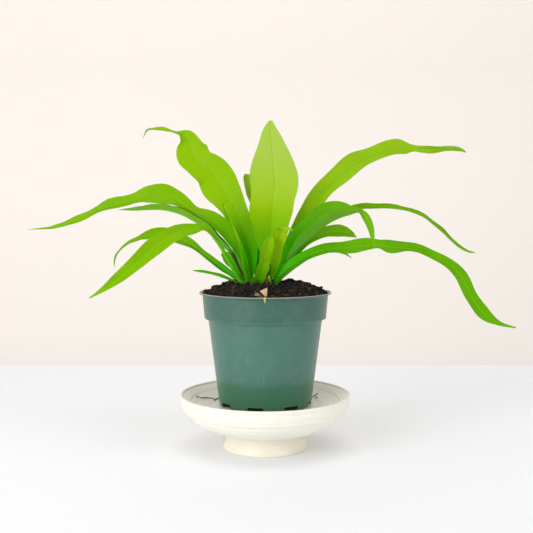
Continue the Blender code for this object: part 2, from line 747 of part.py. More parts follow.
def build_stub_and_bud(parts):
    """A dead stipe, thick and reddish at its foot, and a tiny green bud beside it."""
    stub_material = make_material("dead_stipe", (0.12, 0.035, 0.02), 0.7)
    bud_material = make_material("green_bud", (0.12, 0.35, 0.02), 0.5)
    origin = np.array([CROWN_CENTRE_X, 0.0, crown_top_z()])
    for name, rows, material in (
        ("dead_stipe", DEAD_STIPE, stub_material),
        ("tiny_bud", TINY_BUD, bud_material),
    ):
        rows = np.array(rows) * MM
        add_tube(name, rows[:, :3] + origin, rows[:, 3], parts, material)


def add_chip(name, outline, thickness, place, tilt, parts, material):
    """A flat chip, cut to an outline in mm and tilted where it lies."""
    curve = bpy.data.curves.new(name, "CURVE")
    curve.dimensions = "2D"
    curve.fill_mode = "BOTH"
    curve.extrude = thickness / 2
    spline = curve.splines.new("POLY")
    spline.points.add(len(outline) - 1)
    for corner, (x, y) in zip(spline.points, outline):
        corner.co = (x * MM, y * MM, 0.0, 1.0)
    spline.use_cyclic_u = True
    obj = add_object(name, curve, parts, material)
    obj.location = place
    obj.rotation_euler = tilt
    return obj


def build_chips(parts):
    wood = make_material("pale_wood_chip", (0.62, 0.46, 0.27), 0.8)
    leaf = make_material("old_leaf_scrap", (0.25, 0.27, 0.12), 0.8)
    front = soil_edge()[0] - CHIP_INSET
    chip_place = (WOOD_CHIP_X, -front, soil_height_at(front) + WOOD_CHIP_LIFT)
    add_chip("wood_chip", WOOD_CHIP, WOOD_CHIP_THICKNESS, chip_place, WOOD_CHIP_TILT, parts, wood)
    sliver_place = (SLIVER_X, -POT_LIP_RADIUS - 2.0 * GAP, pot_lip_z() - SLIVER_DROP)
    add_chip("bark_sliver", BARK_SLIVER, SLIVER_THICKNESS, sliver_place, SLIVER_TILT, parts, wood)
    scrap_place = (SCRAP_X, -front, soil_height_at(front) + SCRAP_LIFT)
    add_chip("leaf_scrap", LEAF_SCRAP, SCRAP_THICKNESS, scrap_place, SCRAP_TILT, parts, leaf)


def main():
    clear_scene()
    parts = new_collection("potted_fern")
    cutters = new_collection("cutters", hidden=True)
    build_dish(parts)
    build_pot(parts, cutters)
    build_soil_and_crown(parts, cutters)
    build_fronds(parts)
    build_stub_and_bud(parts)
    build_chips(parts)
    build_rootlets(parts)


main()
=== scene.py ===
"""A young strap-leaved fern in a green nursery pot, standing in a cream footed dish.

The object is built from the table up: dish, pot, potting mix, crown, fronds, and the bits that have
dropped round them. Everything is in metres, with the dish's foot standing on z = 0.
"""

import math

import bmesh
import bpy
import numpy as np
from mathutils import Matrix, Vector, noise


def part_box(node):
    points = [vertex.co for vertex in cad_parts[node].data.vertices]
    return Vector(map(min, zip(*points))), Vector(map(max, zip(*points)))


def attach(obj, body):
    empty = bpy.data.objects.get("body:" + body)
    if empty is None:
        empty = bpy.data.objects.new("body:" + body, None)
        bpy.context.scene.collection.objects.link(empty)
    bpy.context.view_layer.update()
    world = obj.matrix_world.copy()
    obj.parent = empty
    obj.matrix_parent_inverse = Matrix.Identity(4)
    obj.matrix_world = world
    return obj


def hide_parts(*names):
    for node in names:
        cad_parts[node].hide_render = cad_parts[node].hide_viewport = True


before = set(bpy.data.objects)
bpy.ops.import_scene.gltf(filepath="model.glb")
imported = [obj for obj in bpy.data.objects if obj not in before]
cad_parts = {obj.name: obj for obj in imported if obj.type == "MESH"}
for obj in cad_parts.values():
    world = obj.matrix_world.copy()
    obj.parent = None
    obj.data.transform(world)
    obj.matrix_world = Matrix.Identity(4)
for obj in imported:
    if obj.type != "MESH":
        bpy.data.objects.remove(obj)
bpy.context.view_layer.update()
MM = 0.001

# ---------------------------------------------------------------- Camera
# A short telephoto view at the height of the fronds, looking a little down on the soil and the dish.

CAMERA_PLACE = (0.001, -0.728, 0.195)
CAMERA_DIP = math.radians(3.57)
CAMERA_LENS_MM = 60.1

camera_data = bpy.data.cameras.new("camera")
camera_data.lens = CAMERA_LENS_MM
camera_data.sensor_width = 36.0
camera_data.clip_start = 0.01
camera = bpy.data.objects.new("camera", camera_data)
camera.location = CAMERA_PLACE
camera.rotation_euler = (math.pi / 2 - CAMERA_DIP, 0.0, 0.0)
bpy.context.scene.collection.objects.link(camera)
bpy.context.scene.camera = camera
bpy.context.scene.view_settings.view_transform = "Standard"


# ---------------------------------------------------------------- Table and wall
# A matt cool white table top and, well behind it, a warm white plaster wall. Both are painted and plain.
# They aren't part of the object.

TABLE_COLOUR = "#F9FBFF"
WALL_COLOUR = "#F8F1EA"
WALL_BOUNCE = 0.19
BOUNCE_ENDS_Z = 0.45
BOUNCE_FULL_Z = -0.05
TABLE_END = 0.389
WALL_BEHIND = 0.85
STAGE_REACH = 3.0
MATH = "ShaderNodeMath"
MAP_RANGE = "ShaderNodeMapRange"
NOISE = "ShaderNodeTexNoise"


def hex_linear(colour):
    """An sRGB hex colour as linear red, green, blue and alpha."""
    values = [int(colour[i : i + 2], 16) / 255 for i in (1, 3, 5)]
    linear = [v / 12.92 if v <= 0.04045 else ((v + 0.055) / 1.055) ** 2.4 for v in values]
    return (*linear, 1.0)


def put(tree, kind, links=None, **settings):
    """One node with its settings. Links go to inputs by name or number, or in order when they are a row.
    A link's value is a number or colour, a socket, or a node whose first output is meant."""
    node = tree.nodes.new(kind)
    for name, value in settings.items():
        setattr(node, name, value)
    named = links if isinstance(links, dict) else dict(enumerate(links or ()))
    for name, value in named.items():
        if isinstance(value, bpy.types.Node):
            value = value.outputs[0]
        if isinstance(value, bpy.types.NodeSocket):
            tree.links.new(value, node.inputs[name])
        else:
            node.inputs[name].default_value = value
    return node


def new_material(name):
    """An empty material and its node tree."""
    material = bpy.data.materials.new(name)
    material.use_nodes = True
    material.node_tree.nodes.clear()
    return material, material.node_tree


def surfaced(material, shader):
    """The material with this shader on its surface."""
    put(material.node_tree, "ShaderNodeOutputMaterial", {"Surface": shader})
    return material


def matt_paint(name, colour, bounce=0.0):
    """Matt paint, with some light on its lower part that the floor throws back."""
    material, tree = new_material(name)
    grain = put(tree, NOISE, {"Scale": 900.0, "Detail": 2.0})
    bump = put(tree, "ShaderNodeBump", {"Strength": 0.05, "Distance": 0.0002, "Height": grain})
    place = put(tree, "ShaderNodeTexCoord").outputs["Object"]
    height = put(tree, "ShaderNodeSeparateXYZ", {"Vector": place}).outputs["Z"]
    low_light = put(tree, MAP_RANGE, (height, BOUNCE_ENDS_Z, BOUNCE_FULL_Z, 0.0, bounce))
    shader = put(
        tree,
        "ShaderNodeBsdfPrincipled",
        {
            "Base Color": hex_linear(colour),
            "Roughness": 0.75,
            "Normal": bump,
            "Emission Color": hex_linear(colour),
            "Emission Strength": low_light,
        },
    )
    return surfaced(material, shader)


def new_piece(name, mesh, material):
    """A mesh shown as an object at the origin, with its place in its points."""
    piece = bpy.data.objects.new(name, mesh)
    bpy.context.scene.collection.objects.link(piece)
    piece.data.materials.clear()
    piece.data.materials.append(material)
    return piece


def flat_mesh(name, corners):
    mesh = bpy.data.meshes.new(name)
    mesh.from_pydata(corners, [], [tuple(range(len(corners)))])
    return mesh


half = STAGE_REACH
table_corners = [(-half, -half, 0), (half, -half, 0), (half, TABLE_END, 0), (-half, TABLE_END, 0)]
white_table = matt_paint("white_table", TABLE_COLOUR)
table_top = new_piece("table_top", flat_mesh("table_top", table_corners), white_table)
wall_corners = [
    (-half, WALL_BEHIND, -half),
    (half, WALL_BEHIND, -half),
    (half, WALL_BEHIND, half),
    (-half, WALL_BEHIND, half),
]
warm_plaster = matt_paint("warm_plaster", WALL_COLOUR, WALL_BOUNCE)
wall = new_piece("wall", flat_mesh("wall", wall_corners), warm_plaster)


# ---------------------------------------------------------------- Studio light
# A large soft window on the left, a weaker one on the right, a soft top light, and an even white sky.

LIGHTS = {
    # name: (place, size, watts)
    "window_left": ((-1.05, -1.15, 0.52), 1.2, 15.8),
    "window_right": ((1.25, -0.90, 0.50), 1.1, 6.0),
    "ceiling": ((0.0, -0.15, 1.5), 1.4, 6.5),
}
LIGHT_TARGET = Vector((0.0, 0.0, 0.13))

for name, (place, size, watts) in LIGHTS.items():
    lamp = bpy.data.lights.new(name, "AREA")
    lamp.shape = "DISK"
    lamp.size = size
    lamp.energy = watts
    lamp.color = (1.0, 0.995, 0.995)
    light = bpy.data.objects.new(name, lamp)
    light.location = place
    light.rotation_euler = (LIGHT_TARGET - Vector(place)).to_track_quat("-Z", "Y").to_euler()
    bpy.context.scene.collection.objects.link(light)

sky = bpy.data.worlds.new("white_sky")
sky.use_nodes = True
sky.node_tree.nodes["Background"].inputs["Color"].default_value = hex_linear("#FAF8F6")
sky.node_tree.nodes["Background"].inputs["Strength"].default_value = 0.46
bpy.context.scene.world = sky


# ---------------------------------------------------------------- Footed dish
# A turned earthenware dish on a flared foot, in a satin cream glaze. It was thrown on a wheel: fine
# throwing lines run round it, and the glaze is thinner and warmer on their crests and at the foot.

DISH_HEIGHT = 45.0 * MM
DISH_LIP_RADIUS = 70.4 * MM
DISH_LIP_WIDTH = 2.6 * MM
DISH_DEPTH = 9.3 * MM
DISH_NECK_RADIUS = 30.8 * MM
DISH_NECK_HEIGHT = 14.0 * MM
DISH_FOOT_RADIUS = 35.0 * MM
DISH_RECESS_RADIUS = 27.0 * MM
DISH_RECESS_DEPTH = 3.0 * MM
DISH_FLOOR_RADIUS = 42.2 * MM
DISH_FLOOR_Z = DISH_HEIGHT - DISH_DEPTH
THROWING_LINE_SPACING = 2.3 * MM
THROWING_LINE_DEPTH = 0.16 * MM
TURNS = 256


def even_steps(points, step):
    """The same polyline with points no further apart than the step, smoothed at its corners."""
    points = np.array(points, float)
    lengths = np.linalg.norm(np.diff(points, axis=0), axis=1)
    place = np.concatenate([[0.0], np.cumsum(lengths)])
    wanted = np.linspace(0.0, place[-1], int(place[-1] / step) + 2)
    wanted = np.unique(np.concatenate([wanted, place]).round(7))
    return np.column_stack([np.interp(wanted, place, points[:, i]) for i in range(2)])


def smooth_mesh(name, build):
    """The built faces as a smooth mesh that faces outward."""
    bmesh.ops.recalc_face_normals(build, faces=build.faces)
    mesh = bpy.data.meshes.new(name)
    build.to_mesh(mesh)
    build.free()
    mesh.shade_smooth()
    return mesh


def turned_mesh(name, profile, turns):
    """A closed surface of revolution from a profile of (radius, z) that starts and ends on the axis, or
    that closes on itself away from it."""
    angles = np.linspace(0.0, math.tau, turns, endpoint=False)
    build = bmesh.new()
    rings = []
    for radius, z in profile:
        if radius < 1e-7:
            rings.append([build.verts.new((0.0, 0.0, z))] * turns)
        else:
            rings.append([build.verts.new((radius * math.cos(a), radius * math.sin(a), z)) for a in angles])
    closes = profile[0][0] > 1e-7
    pairs = list(zip(rings, rings[1:])) + ([(rings[-1], rings[0])] if closes else [])
    for lower, upper in pairs:
        for i in range(turns):
            j = (i + 1) % turns
            corners = list(dict.fromkeys((lower[i], lower[j], upper[j], upper[i])))
            if len(corners) > 2:
                build.faces.new(corners)
    return smooth_mesh(name, build)


def arc_points(centre, radius, start, end, count):
    """Points of (radius, z) on an arc, with angles in degrees."""
    angles = np.radians(np.linspace(start, end, count))
    return [(centre[0] + radius * math.cos(a), centre[1] + radius * math.sin(a)) for a in angles]


def dish_inside_z(radius):
    """Height of the dish's inside at a distance from the axis."""
    reach = DISH_LIP_RADIUS - DISH_LIP_WIDTH - DISH_FLOOR_RADIUS
    share = np.clip((radius - DISH_FLOOR_RADIUS) / reach, 0.0, 1.0)
    return DISH_FLOOR_Z + (DISH_DEPTH - DISH_LIP_WIDTH / 2) * share**2


dish_radii = np.linspace(0.0, DISH_LIP_RADIUS - DISH_LIP_WIDTH, 60)
dish_inside = [(r, float(dish_inside_z(r))) for r in dish_radii]
lip_middle = (DISH_LIP_RADIUS - DISH_LIP_WIDTH / 2, DISH_HEIGHT - DISH_LIP_WIDTH / 2)
dish_lip = arc_points(lip_middle, DISH_LIP_WIDTH / 2, 150.0, -40.0, 16)
dish_bowl = []
for share in np.linspace(0.10, 1.0, 26):
    turn = share * math.pi / 2
    spread = DISH_LIP_RADIUS - DISH_NECK_RADIUS
    rise = DISH_HEIGHT - DISH_LIP_WIDTH - DISH_NECK_HEIGHT
    dish_bowl.append(
        (
            DISH_NECK_RADIUS + spread * math.cos(turn) ** 0.95,
            DISH_NECK_HEIGHT + rise * (1.0 - math.sin(turn)) ** 0.8,
        )
    )
dish_foot = []
for share in np.linspace(0.05, 0.92, 12):
    spread = (DISH_FOOT_RADIUS - DISH_NECK_RADIUS) * share**1.3
    dish_foot.append((DISH_NECK_RADIUS + spread, DISH_NECK_HEIGHT * (1.0 - share)))
dish_foot += arc_points((DISH_FOOT_RADIUS - 1.0 * MM, 1.0 * MM), 1.0 * MM, 0.0, -90.0, 6)
dish_recess = arc_points((DISH_RECESS_RADIUS + 1.0 * MM, 1.0 * MM), 1.0 * MM, -90.0, -180.0, 5)
dish_recess += [(DISH_RECESS_RADIUS - 1.0 * MM, DISH_RECESS_DEPTH), (0.0, DISH_RECESS_DEPTH)]
dish_profile = even_steps(dish_inside + dish_lip + dish_bowl + dish_foot + dish_recess, 0.55 * MM)

# The throwing lines fade out at the lip and under the foot.
profile_run = np.concatenate([[0.0], np.cumsum(np.linalg.norm(np.diff(dish_profile, axis=0), axis=1))])
tangent = np.gradient(dish_profile, axis=0)
tangent /= np.linalg.norm(tangent, axis=1, keepdims=True)
line_shape = np.sin(profile_run * math.tau / THROWING_LINE_SPACING)
line_shape += 0.6 * np.sin(profile_run * math.tau / (THROWING_LINE_SPACING * 2.7) + 1.0)
heights, radii = dish_profile[:, 1], dish_profile[:, 0]
fade = np.clip((radii - 8 * MM) / (6 * MM), 0, 1) * np.clip((heights - 2 * MM) / (3 * MM), 0, 1)
fade *= np.clip((DISH_HEIGHT - 0.5 * MM - heights) / (2.5 * MM), 0, 1)
depth = (THROWING_LINE_DEPTH * line_shape * fade)[:, None]
dish_profile = dish_profile + np.column_stack([tangent[:, 1], -tangent[:, 0]]) * depth
dish_profile[[0, -1], 0] = 0.0


def layered(tree, colour, coats):
    """A colour under coats of other colours. A coat is its amount and its hex colour."""
    colour = hex_linear(colour) if isinstance(colour, str) else colour
    for amount, coat in coats:
        links = {0: amount, 6: colour, 7: hex_linear(coat)}
        colour = put(tree, "ShaderNodeMix", links, data_type="RGBA").outputs[2]
    return colour


def glazed_earthenware():
    """Satin cream glaze over pale clay: soft highlights, warmer thin lines where the tool ran."""
    material, tree = new_material("cream_glazed_earthenware")
    place = put(tree, "ShaderNodeTexCoord").outputs["Object"]
    rings_place = put(tree, "ShaderNodeMapping", {"Vector": place, "Scale": (9.0, 9.0, 700.0)})
    rings = put(tree, NOISE, {"Vector": rings_place, "Scale": 1.0, "Detail": 3.0})
    clouds = put(tree, NOISE, {"Vector": place, "Scale": 45.0, "Detail": 4.0})
    warm_lines = put(tree, MAP_RANGE, (rings, 0.56, 0.70, 0.0, 0.30))
    height = put(tree, "ShaderNodeSeparateXYZ", {"Vector": place}).outputs["Z"]
    low = put(tree, MAP_RANGE, (height, 17 * MM, 6 * MM, 0.0, 0.55))
    dots = put(tree, "ShaderNodeTexVoronoi", {"Vector": place, "Scale": 260.0})
    specks = put(tree, MAP_RANGE, (dots, 0.10, 0.05, 0.0, 0.35))
    coats = ((clouds, "#EEEBDD"), (warm_lines, "#D9C9A8"), (low, "#F0E6CF"), (specks, "#CDB893"))
    bump = put(tree, "ShaderNodeBump", {"Strength": 0.35, "Distance": 0.0003, "Height": rings})
    shader = put(
        tree,
        "ShaderNodeBsdfPrincipled",
        {
            "Base Color": layered(tree, "#F4F2E8", coats),
            "Roughness": 0.42,
            "IOR": 1.5,
            "Coat Weight": 0.15,
            "Coat Roughness": 0.25,
            "Normal": bump,
        },
    )
    return surfaced(material, shader)


dish = new_piece("cream_dish", turned_mesh("cream_dish", dish_profile, TURNS), glazed_earthenware())
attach(dish, "root")
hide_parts("footed_dish")


# ---------------------------------------------------------------- Nursery pot
# The usual grower's pot, moulded in green polypropylene: a rolled lip, a broad band under it, a
# small ridge near the foot and drain slots cut through the foot. Its upper part is painted paler and
# greyer as a painted reflection of the white table, with a thin film of dust on it; its lower part, down
# in the dish, keeps a darker green as painted shade. A painted highlight runs along the lip.

POT_LOW, POT_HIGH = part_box("nursery_pot")
POT_BASE_Z, POT_LIP_Z = POT_LOW.z, POT_HIGH.z
POT_WALL = 1.2 * MM
POT_LIP_RADIUS = 54.2 * MM
POT_BAND_TOP_RADIUS = 51.5 * MM
POT_BAND_BOTTOM_RADIUS = 49.9 * MM
POT_BAND_BOTTOM_Z = POT_LIP_Z - 21.5 * MM
POT_BODY_TOP_RADIUS = 46.7 * MM
POT_FOOT_RADIUS = 38.2 * MM
POT_RIDGE_Z = POT_BASE_Z + 5.0 * MM
SLOTS = 8
SLOT_WIDTH = 13.0 * MM
SLOT_HEIGHT = 4.4 * MM
SLOT_REACH = 6.5 * MM
SLOT_PHASE = math.radians(-57.0)

# The ridge is 5 mm up a body side that is 71.5 mm high.
ridge_radius = POT_FOOT_RADIUS + (POT_BODY_TOP_RADIUS - POT_FOOT_RADIUS) * 5.0 / 71.5
pot_outside = arc_points((POT_LIP_RADIUS - 0.7 * MM, POT_LIP_Z - 0.7 * MM), 0.7 * MM, 120.0, -60.0, 12)
pot_outside += arc_points((POT_LIP_RADIUS - 1.3 * MM, POT_LIP_Z - 2.3 * MM), 1.2 * MM, 60.0, 170.0, 3)[:1]
pot_outside += [
    (POT_BAND_TOP_RADIUS + 0.9 * MM, POT_LIP_Z - 1.7 * MM),
    (POT_BAND_TOP_RADIUS + 0.15 * MM, POT_LIP_Z - 2.3 * MM),
    (POT_BAND_TOP_RADIUS - 0.1 * MM, POT_LIP_Z - 3.4 * MM),
]
band_turn = (POT_BAND_BOTTOM_RADIUS - 0.6 * MM, POT_BAND_BOTTOM_Z + 0.6 * MM)
pot_outside += arc_points(band_turn, 0.6 * MM, 0.0, -90.0, 6)
pot_outside += [
    (POT_BODY_TOP_RADIUS + 0.9 * MM, POT_BAND_BOTTOM_Z - 0.05 * MM),
    (POT_BODY_TOP_RADIUS + 0.2 * MM, POT_BAND_BOTTOM_Z - 0.5 * MM),
    (POT_BODY_TOP_RADIUS - 0.1 * MM, POT_BAND_BOTTOM_Z - 1.4 * MM),
]
pot_outside += arc_points((ridge_radius - 0.35 * MM, POT_RIDGE_Z), 0.45 * MM, 80.0, -80.0, 8)
pot_outside += [(ridge_radius - 0.75 * MM, POT_RIDGE_Z - 0.9 * MM)]
foot_turn = (POT_FOOT_RADIUS - 1.6 * MM, POT_BASE_Z + 1.0 * MM)
pot_outside += arc_points(foot_turn, 1.0 * MM, 0.0, -90.0, 6)
pot_inside = [
    (POT_FOOT_RADIUS - POT_WALL, POT_BASE_Z + 1.4 * MM),
    (POT_BODY_TOP_RADIUS - POT_WALL, POT_BAND_BOTTOM_Z + POT_WALL),
    (POT_BAND_BOTTOM_RADIUS - POT_WALL, POT_BAND_BOTTOM_Z + POT_WALL),
    (POT_BAND_TOP_RADIUS - POT_WALL, POT_LIP_Z - 2.6 * MM),
    (POT_LIP_RADIUS - POT_WALL - 0.3 * MM, POT_LIP_Z - 0.5 * MM),
]
pot_profile = [(0.0, POT_BASE_Z + 1.4 * MM)] + pot_inside + pot_outside + [(0.0, POT_BASE_Z)]
pot_mesh = turned_mesh("pot_turned", even_steps(pot_profile, 2.2 * MM), TURNS)


def round_slot_mesh(name, angle):
    """A cutter for one drain slot: a bar with a rounded top, pointing out from the axis."""
    outline = [(-SLOT_WIDTH / 2, -2.0 * MM), (SLOT_WIDTH / 2, -2.0 * MM)]
    corner = 1.4 * MM
    outline += arc_points((SLOT_WIDTH / 2 - corner, SLOT_HEIGHT - corner), corner, 0.0, 90.0, 6)
    outline += arc_points((corner - SLOT_WIDTH / 2, SLOT_HEIGHT - corner), corner, 90.0, 180.0, 6)
    out_way = Vector((math.cos(angle), math.sin(angle), 0.0))
    side_way = Vector((-math.sin(angle), math.cos(angle), 0.0))
    build = bmesh.new()
    ends = []
    for reach in (POT_FOOT_RADIUS - SLOT_REACH, POT_FOOT_RADIUS + 3.0 * MM):
        base = out_way * reach + Vector((0.0, 0.0, POT_BASE_Z))
        ends.append([build.verts.new(base + side_way * a + Vector((0, 0, b))) for a, b in outline])
    build.faces.new(ends[0])
    build.faces.new(list(reversed(ends[1])))
    for i in range(len(outline)):
        j = (i + 1) % len(outline)
        build.faces.new((ends[0][j], ends[0][i], ends[1][i], ends[1][j]))
    bmesh.ops.recalc_face_normals(build, faces=build.faces)
    mesh = bpy.data.meshes.new(name)
    build.to_mesh(mesh)
    build.free()
    return mesh


def made_plain(piece):
    """The piece's mesh as its modifiers leave it, with the modifiers gone."""
    graph = bpy.context.evaluated_depsgraph_get()
    mesh = bpy.data.meshes.new_from_object(piece.evaluated_get(graph))
    piece.modifiers.clear()
    piece.data = mesh


def moulded_polypropylene():
    """Dyed green polypropylene: soft sheen, uneven gloss, painted reflection and dust above, painted shade
    below.
    """
    material, tree = new_material("green_polypropylene")
    place = put(tree, "ShaderNodeTexCoord").outputs["Object"]
    height = put(tree, "ShaderNodeSeparateXYZ", {"Vector": place}).outputs["Z"]
    # Above a wavy line the pot is painted paler and greyer. This is a painted reflection of the white
    # table, and the dust film lies on it. Below the line, the darker green is painted shade inside the
    # dish.
    waver = put(tree, NOISE, {"Vector": place, "Scale": 38.0, "Detail": 3.0})
    wavered = put(tree, MATH, (waver, 9 * MM, height), operation="MULTIPLY_ADD")
    painted_reflection_and_dust = put(tree, MAP_RANGE, (wavered, 59 * MM, 66 * MM), interpolation_type="SMOOTHSTEP")
    on_band = put(tree, MAP_RANGE, (height, POT_BAND_BOTTOM_Z, POT_BAND_BOTTOM_Z + 2 * MM, 0.0, 0.75))
    film = put(tree, NOISE, {"Vector": place, "Scale": 120.0, "Detail": 6.0, "Roughness": 0.65})
    film_amount = put(tree, MAP_RANGE, (film, 0.42, 0.72, 0.0, 0.10))
    film_above = put(tree, MATH, (film_amount, painted_reflection_and_dust), operation="MULTIPLY")
    scratch_place = put(tree, "ShaderNodeMapping", {"Vector": place, "Scale": (160.0, 160.0, 22.0)})
    scratches = put(tree, NOISE, {"Vector": scratch_place, "Scale": 1.0, "Detail": 5.0})
    scratch_amount = put(tree, MAP_RANGE, (scratches, 0.68, 0.76, 0.0, 0.12))
    # A painted highlight along the top of the rolled lip.
    painted_lip_highlight = put(tree, MAP_RANGE, (height, POT_LIP_Z - 0.8 * MM, POT_LIP_Z - 0.2 * MM, 0.0, 0.6))
    coats = (
        (painted_reflection_and_dust, "#3F6E60"),
        (on_band, "#2C574B"),
        (film_above, "#8FA79B"),
        (scratch_amount, "#A7BBB0"),
        (painted_lip_highlight, "#C9B896"),
    )
    roughness = put(tree, MAP_RANGE, (film, 0.3, 0.7, 0.34, 0.52))
    bump = put(tree, "ShaderNodeBump", {"Strength": 0.12, "Distance": 0.0004, "Height": film})
    shader = put(
        tree,
        "ShaderNodeBsdfPrincipled",
        {
            "Base Color": layered(tree, "#30674B", coats),
            "Roughness": roughness,
            "IOR": 1.49,
            "Sheen Weight": 0.22,
            "Sheen Roughness": 0.45,
            "Sheen Tint": hex_linear("#E6EFE9"),
            "Normal": bump,
        },
    )
    return surfaced(material, shader)


pot = new_piece("green_pot", pot_mesh, moulded_polypropylene())
slot_cutters = []
for index in range(SLOTS):
    angle = SLOT_PHASE + index * math.tau / SLOTS
    name = f"slot_{index + 1}"
    cutter = bpy.data.objects.new(name, round_slot_mesh(name, angle))
    bpy.context.scene.collection.objects.link(cutter)
    slot_cutters.append(cutter)
    cut = pot.modifiers.new(name, "BOOLEAN")
    cut.operation = "DIFFERENCE"
    cut.object = cutter
made_plain(pot)
for cutter in slot_cutters:
    bpy.data.objects.remove(cutter, do_unlink=True)
pot.data.set_sharp_from_angle(angle=math.radians(38.0))
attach(pot, "root")
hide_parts("nursery_pot")


# ---------------------------------------------------------------- Potting mix
# Moist dark peat with composted bark, heaped a little round the plant. The body of it is one mound;
# crumbs, bark pieces and fibres of random size lie on it, and some are paler where they have dried.

SOIL_EDGE_RADIUS = float(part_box("potting_soil")[1].x)
SOIL_EDGE_Z = POT_LIP_Z - 0.8 * MM
HEAP_HEIGHT = 9.0 * MM
HEAP_RADIUS = 28.0 * MM
HOLLOW_DEPTH = 4.5 * MM
HOLLOW_RADIUS = 19.0 * MM


def soil_z(radius):
    """Height of the heap at a distance from the axis."""
    top = SOIL_EDGE_Z + HEAP_HEIGHT
    inner = np.clip((radius - HOLLOW_RADIUS) / (HEAP_RADIUS - HOLLOW_RADIUS), 0.0, 1.0)
    outer = np.clip((radius - HEAP_RADIUS) / (SOIL_EDGE_RADIUS - HEAP_RADIUS), 0.0, 1.0)
    hollow = HOLLOW_DEPTH * (0.5 + 0.5 * np.cos(math.pi * inner))
    return top - hollow - HEAP_HEIGHT * outer**1.25


soil_profile = [(r, float(soil_z(r)) - 0.9 * MM) for r in np.linspace(0.0, SOIL_EDGE_RADIUS - 0.2 * MM, 44)]
soil_profile += [(radius - 0.4 * MM, z) for radius, z in reversed(pot_inside[:-1])]
soil_profile += [(0.0, POT_BASE_Z + 1.8 * MM)]
soil_profile[-2] = (soil_profile[-2][0], POT_BASE_Z + 1.8 * MM)


def new_tree(name, sizes):
    """A Geometry Nodes tree that takes a mesh and these named sizes, with its two ends."""
    tree = bpy.data.node_groups.new(name, "GeometryNodeTree")
    tree.interface.new_socket("Geometry", in_out="INPUT", socket_type="NodeSocketGeometry")
    for label, kind in sizes.items():
        tree.interface.new_socket(label, in_out="INPUT", socket_type=kind)
    tree.interface.new_socket("Geometry", in_out="OUTPUT", socket_type="NodeSocketGeometry")
    return tree, tree.nodes.new("NodeGroupInput"), tree.nodes.new("NodeGroupOutput")


def grown(piece, tree, sizes):
    """The tree's result on a piece, with the sizes given by name, as a plain mesh."""
    nodes = piece.modifiers.new(tree.name, "NODES")
    nodes.node_group = tree
    for socket in tree.interface.items_tree:
        if socket.in_out == "INPUT" and socket.name in sizes:
            nodes[socket.identifier] = sizes[socket.name]
    made_plain(piece)


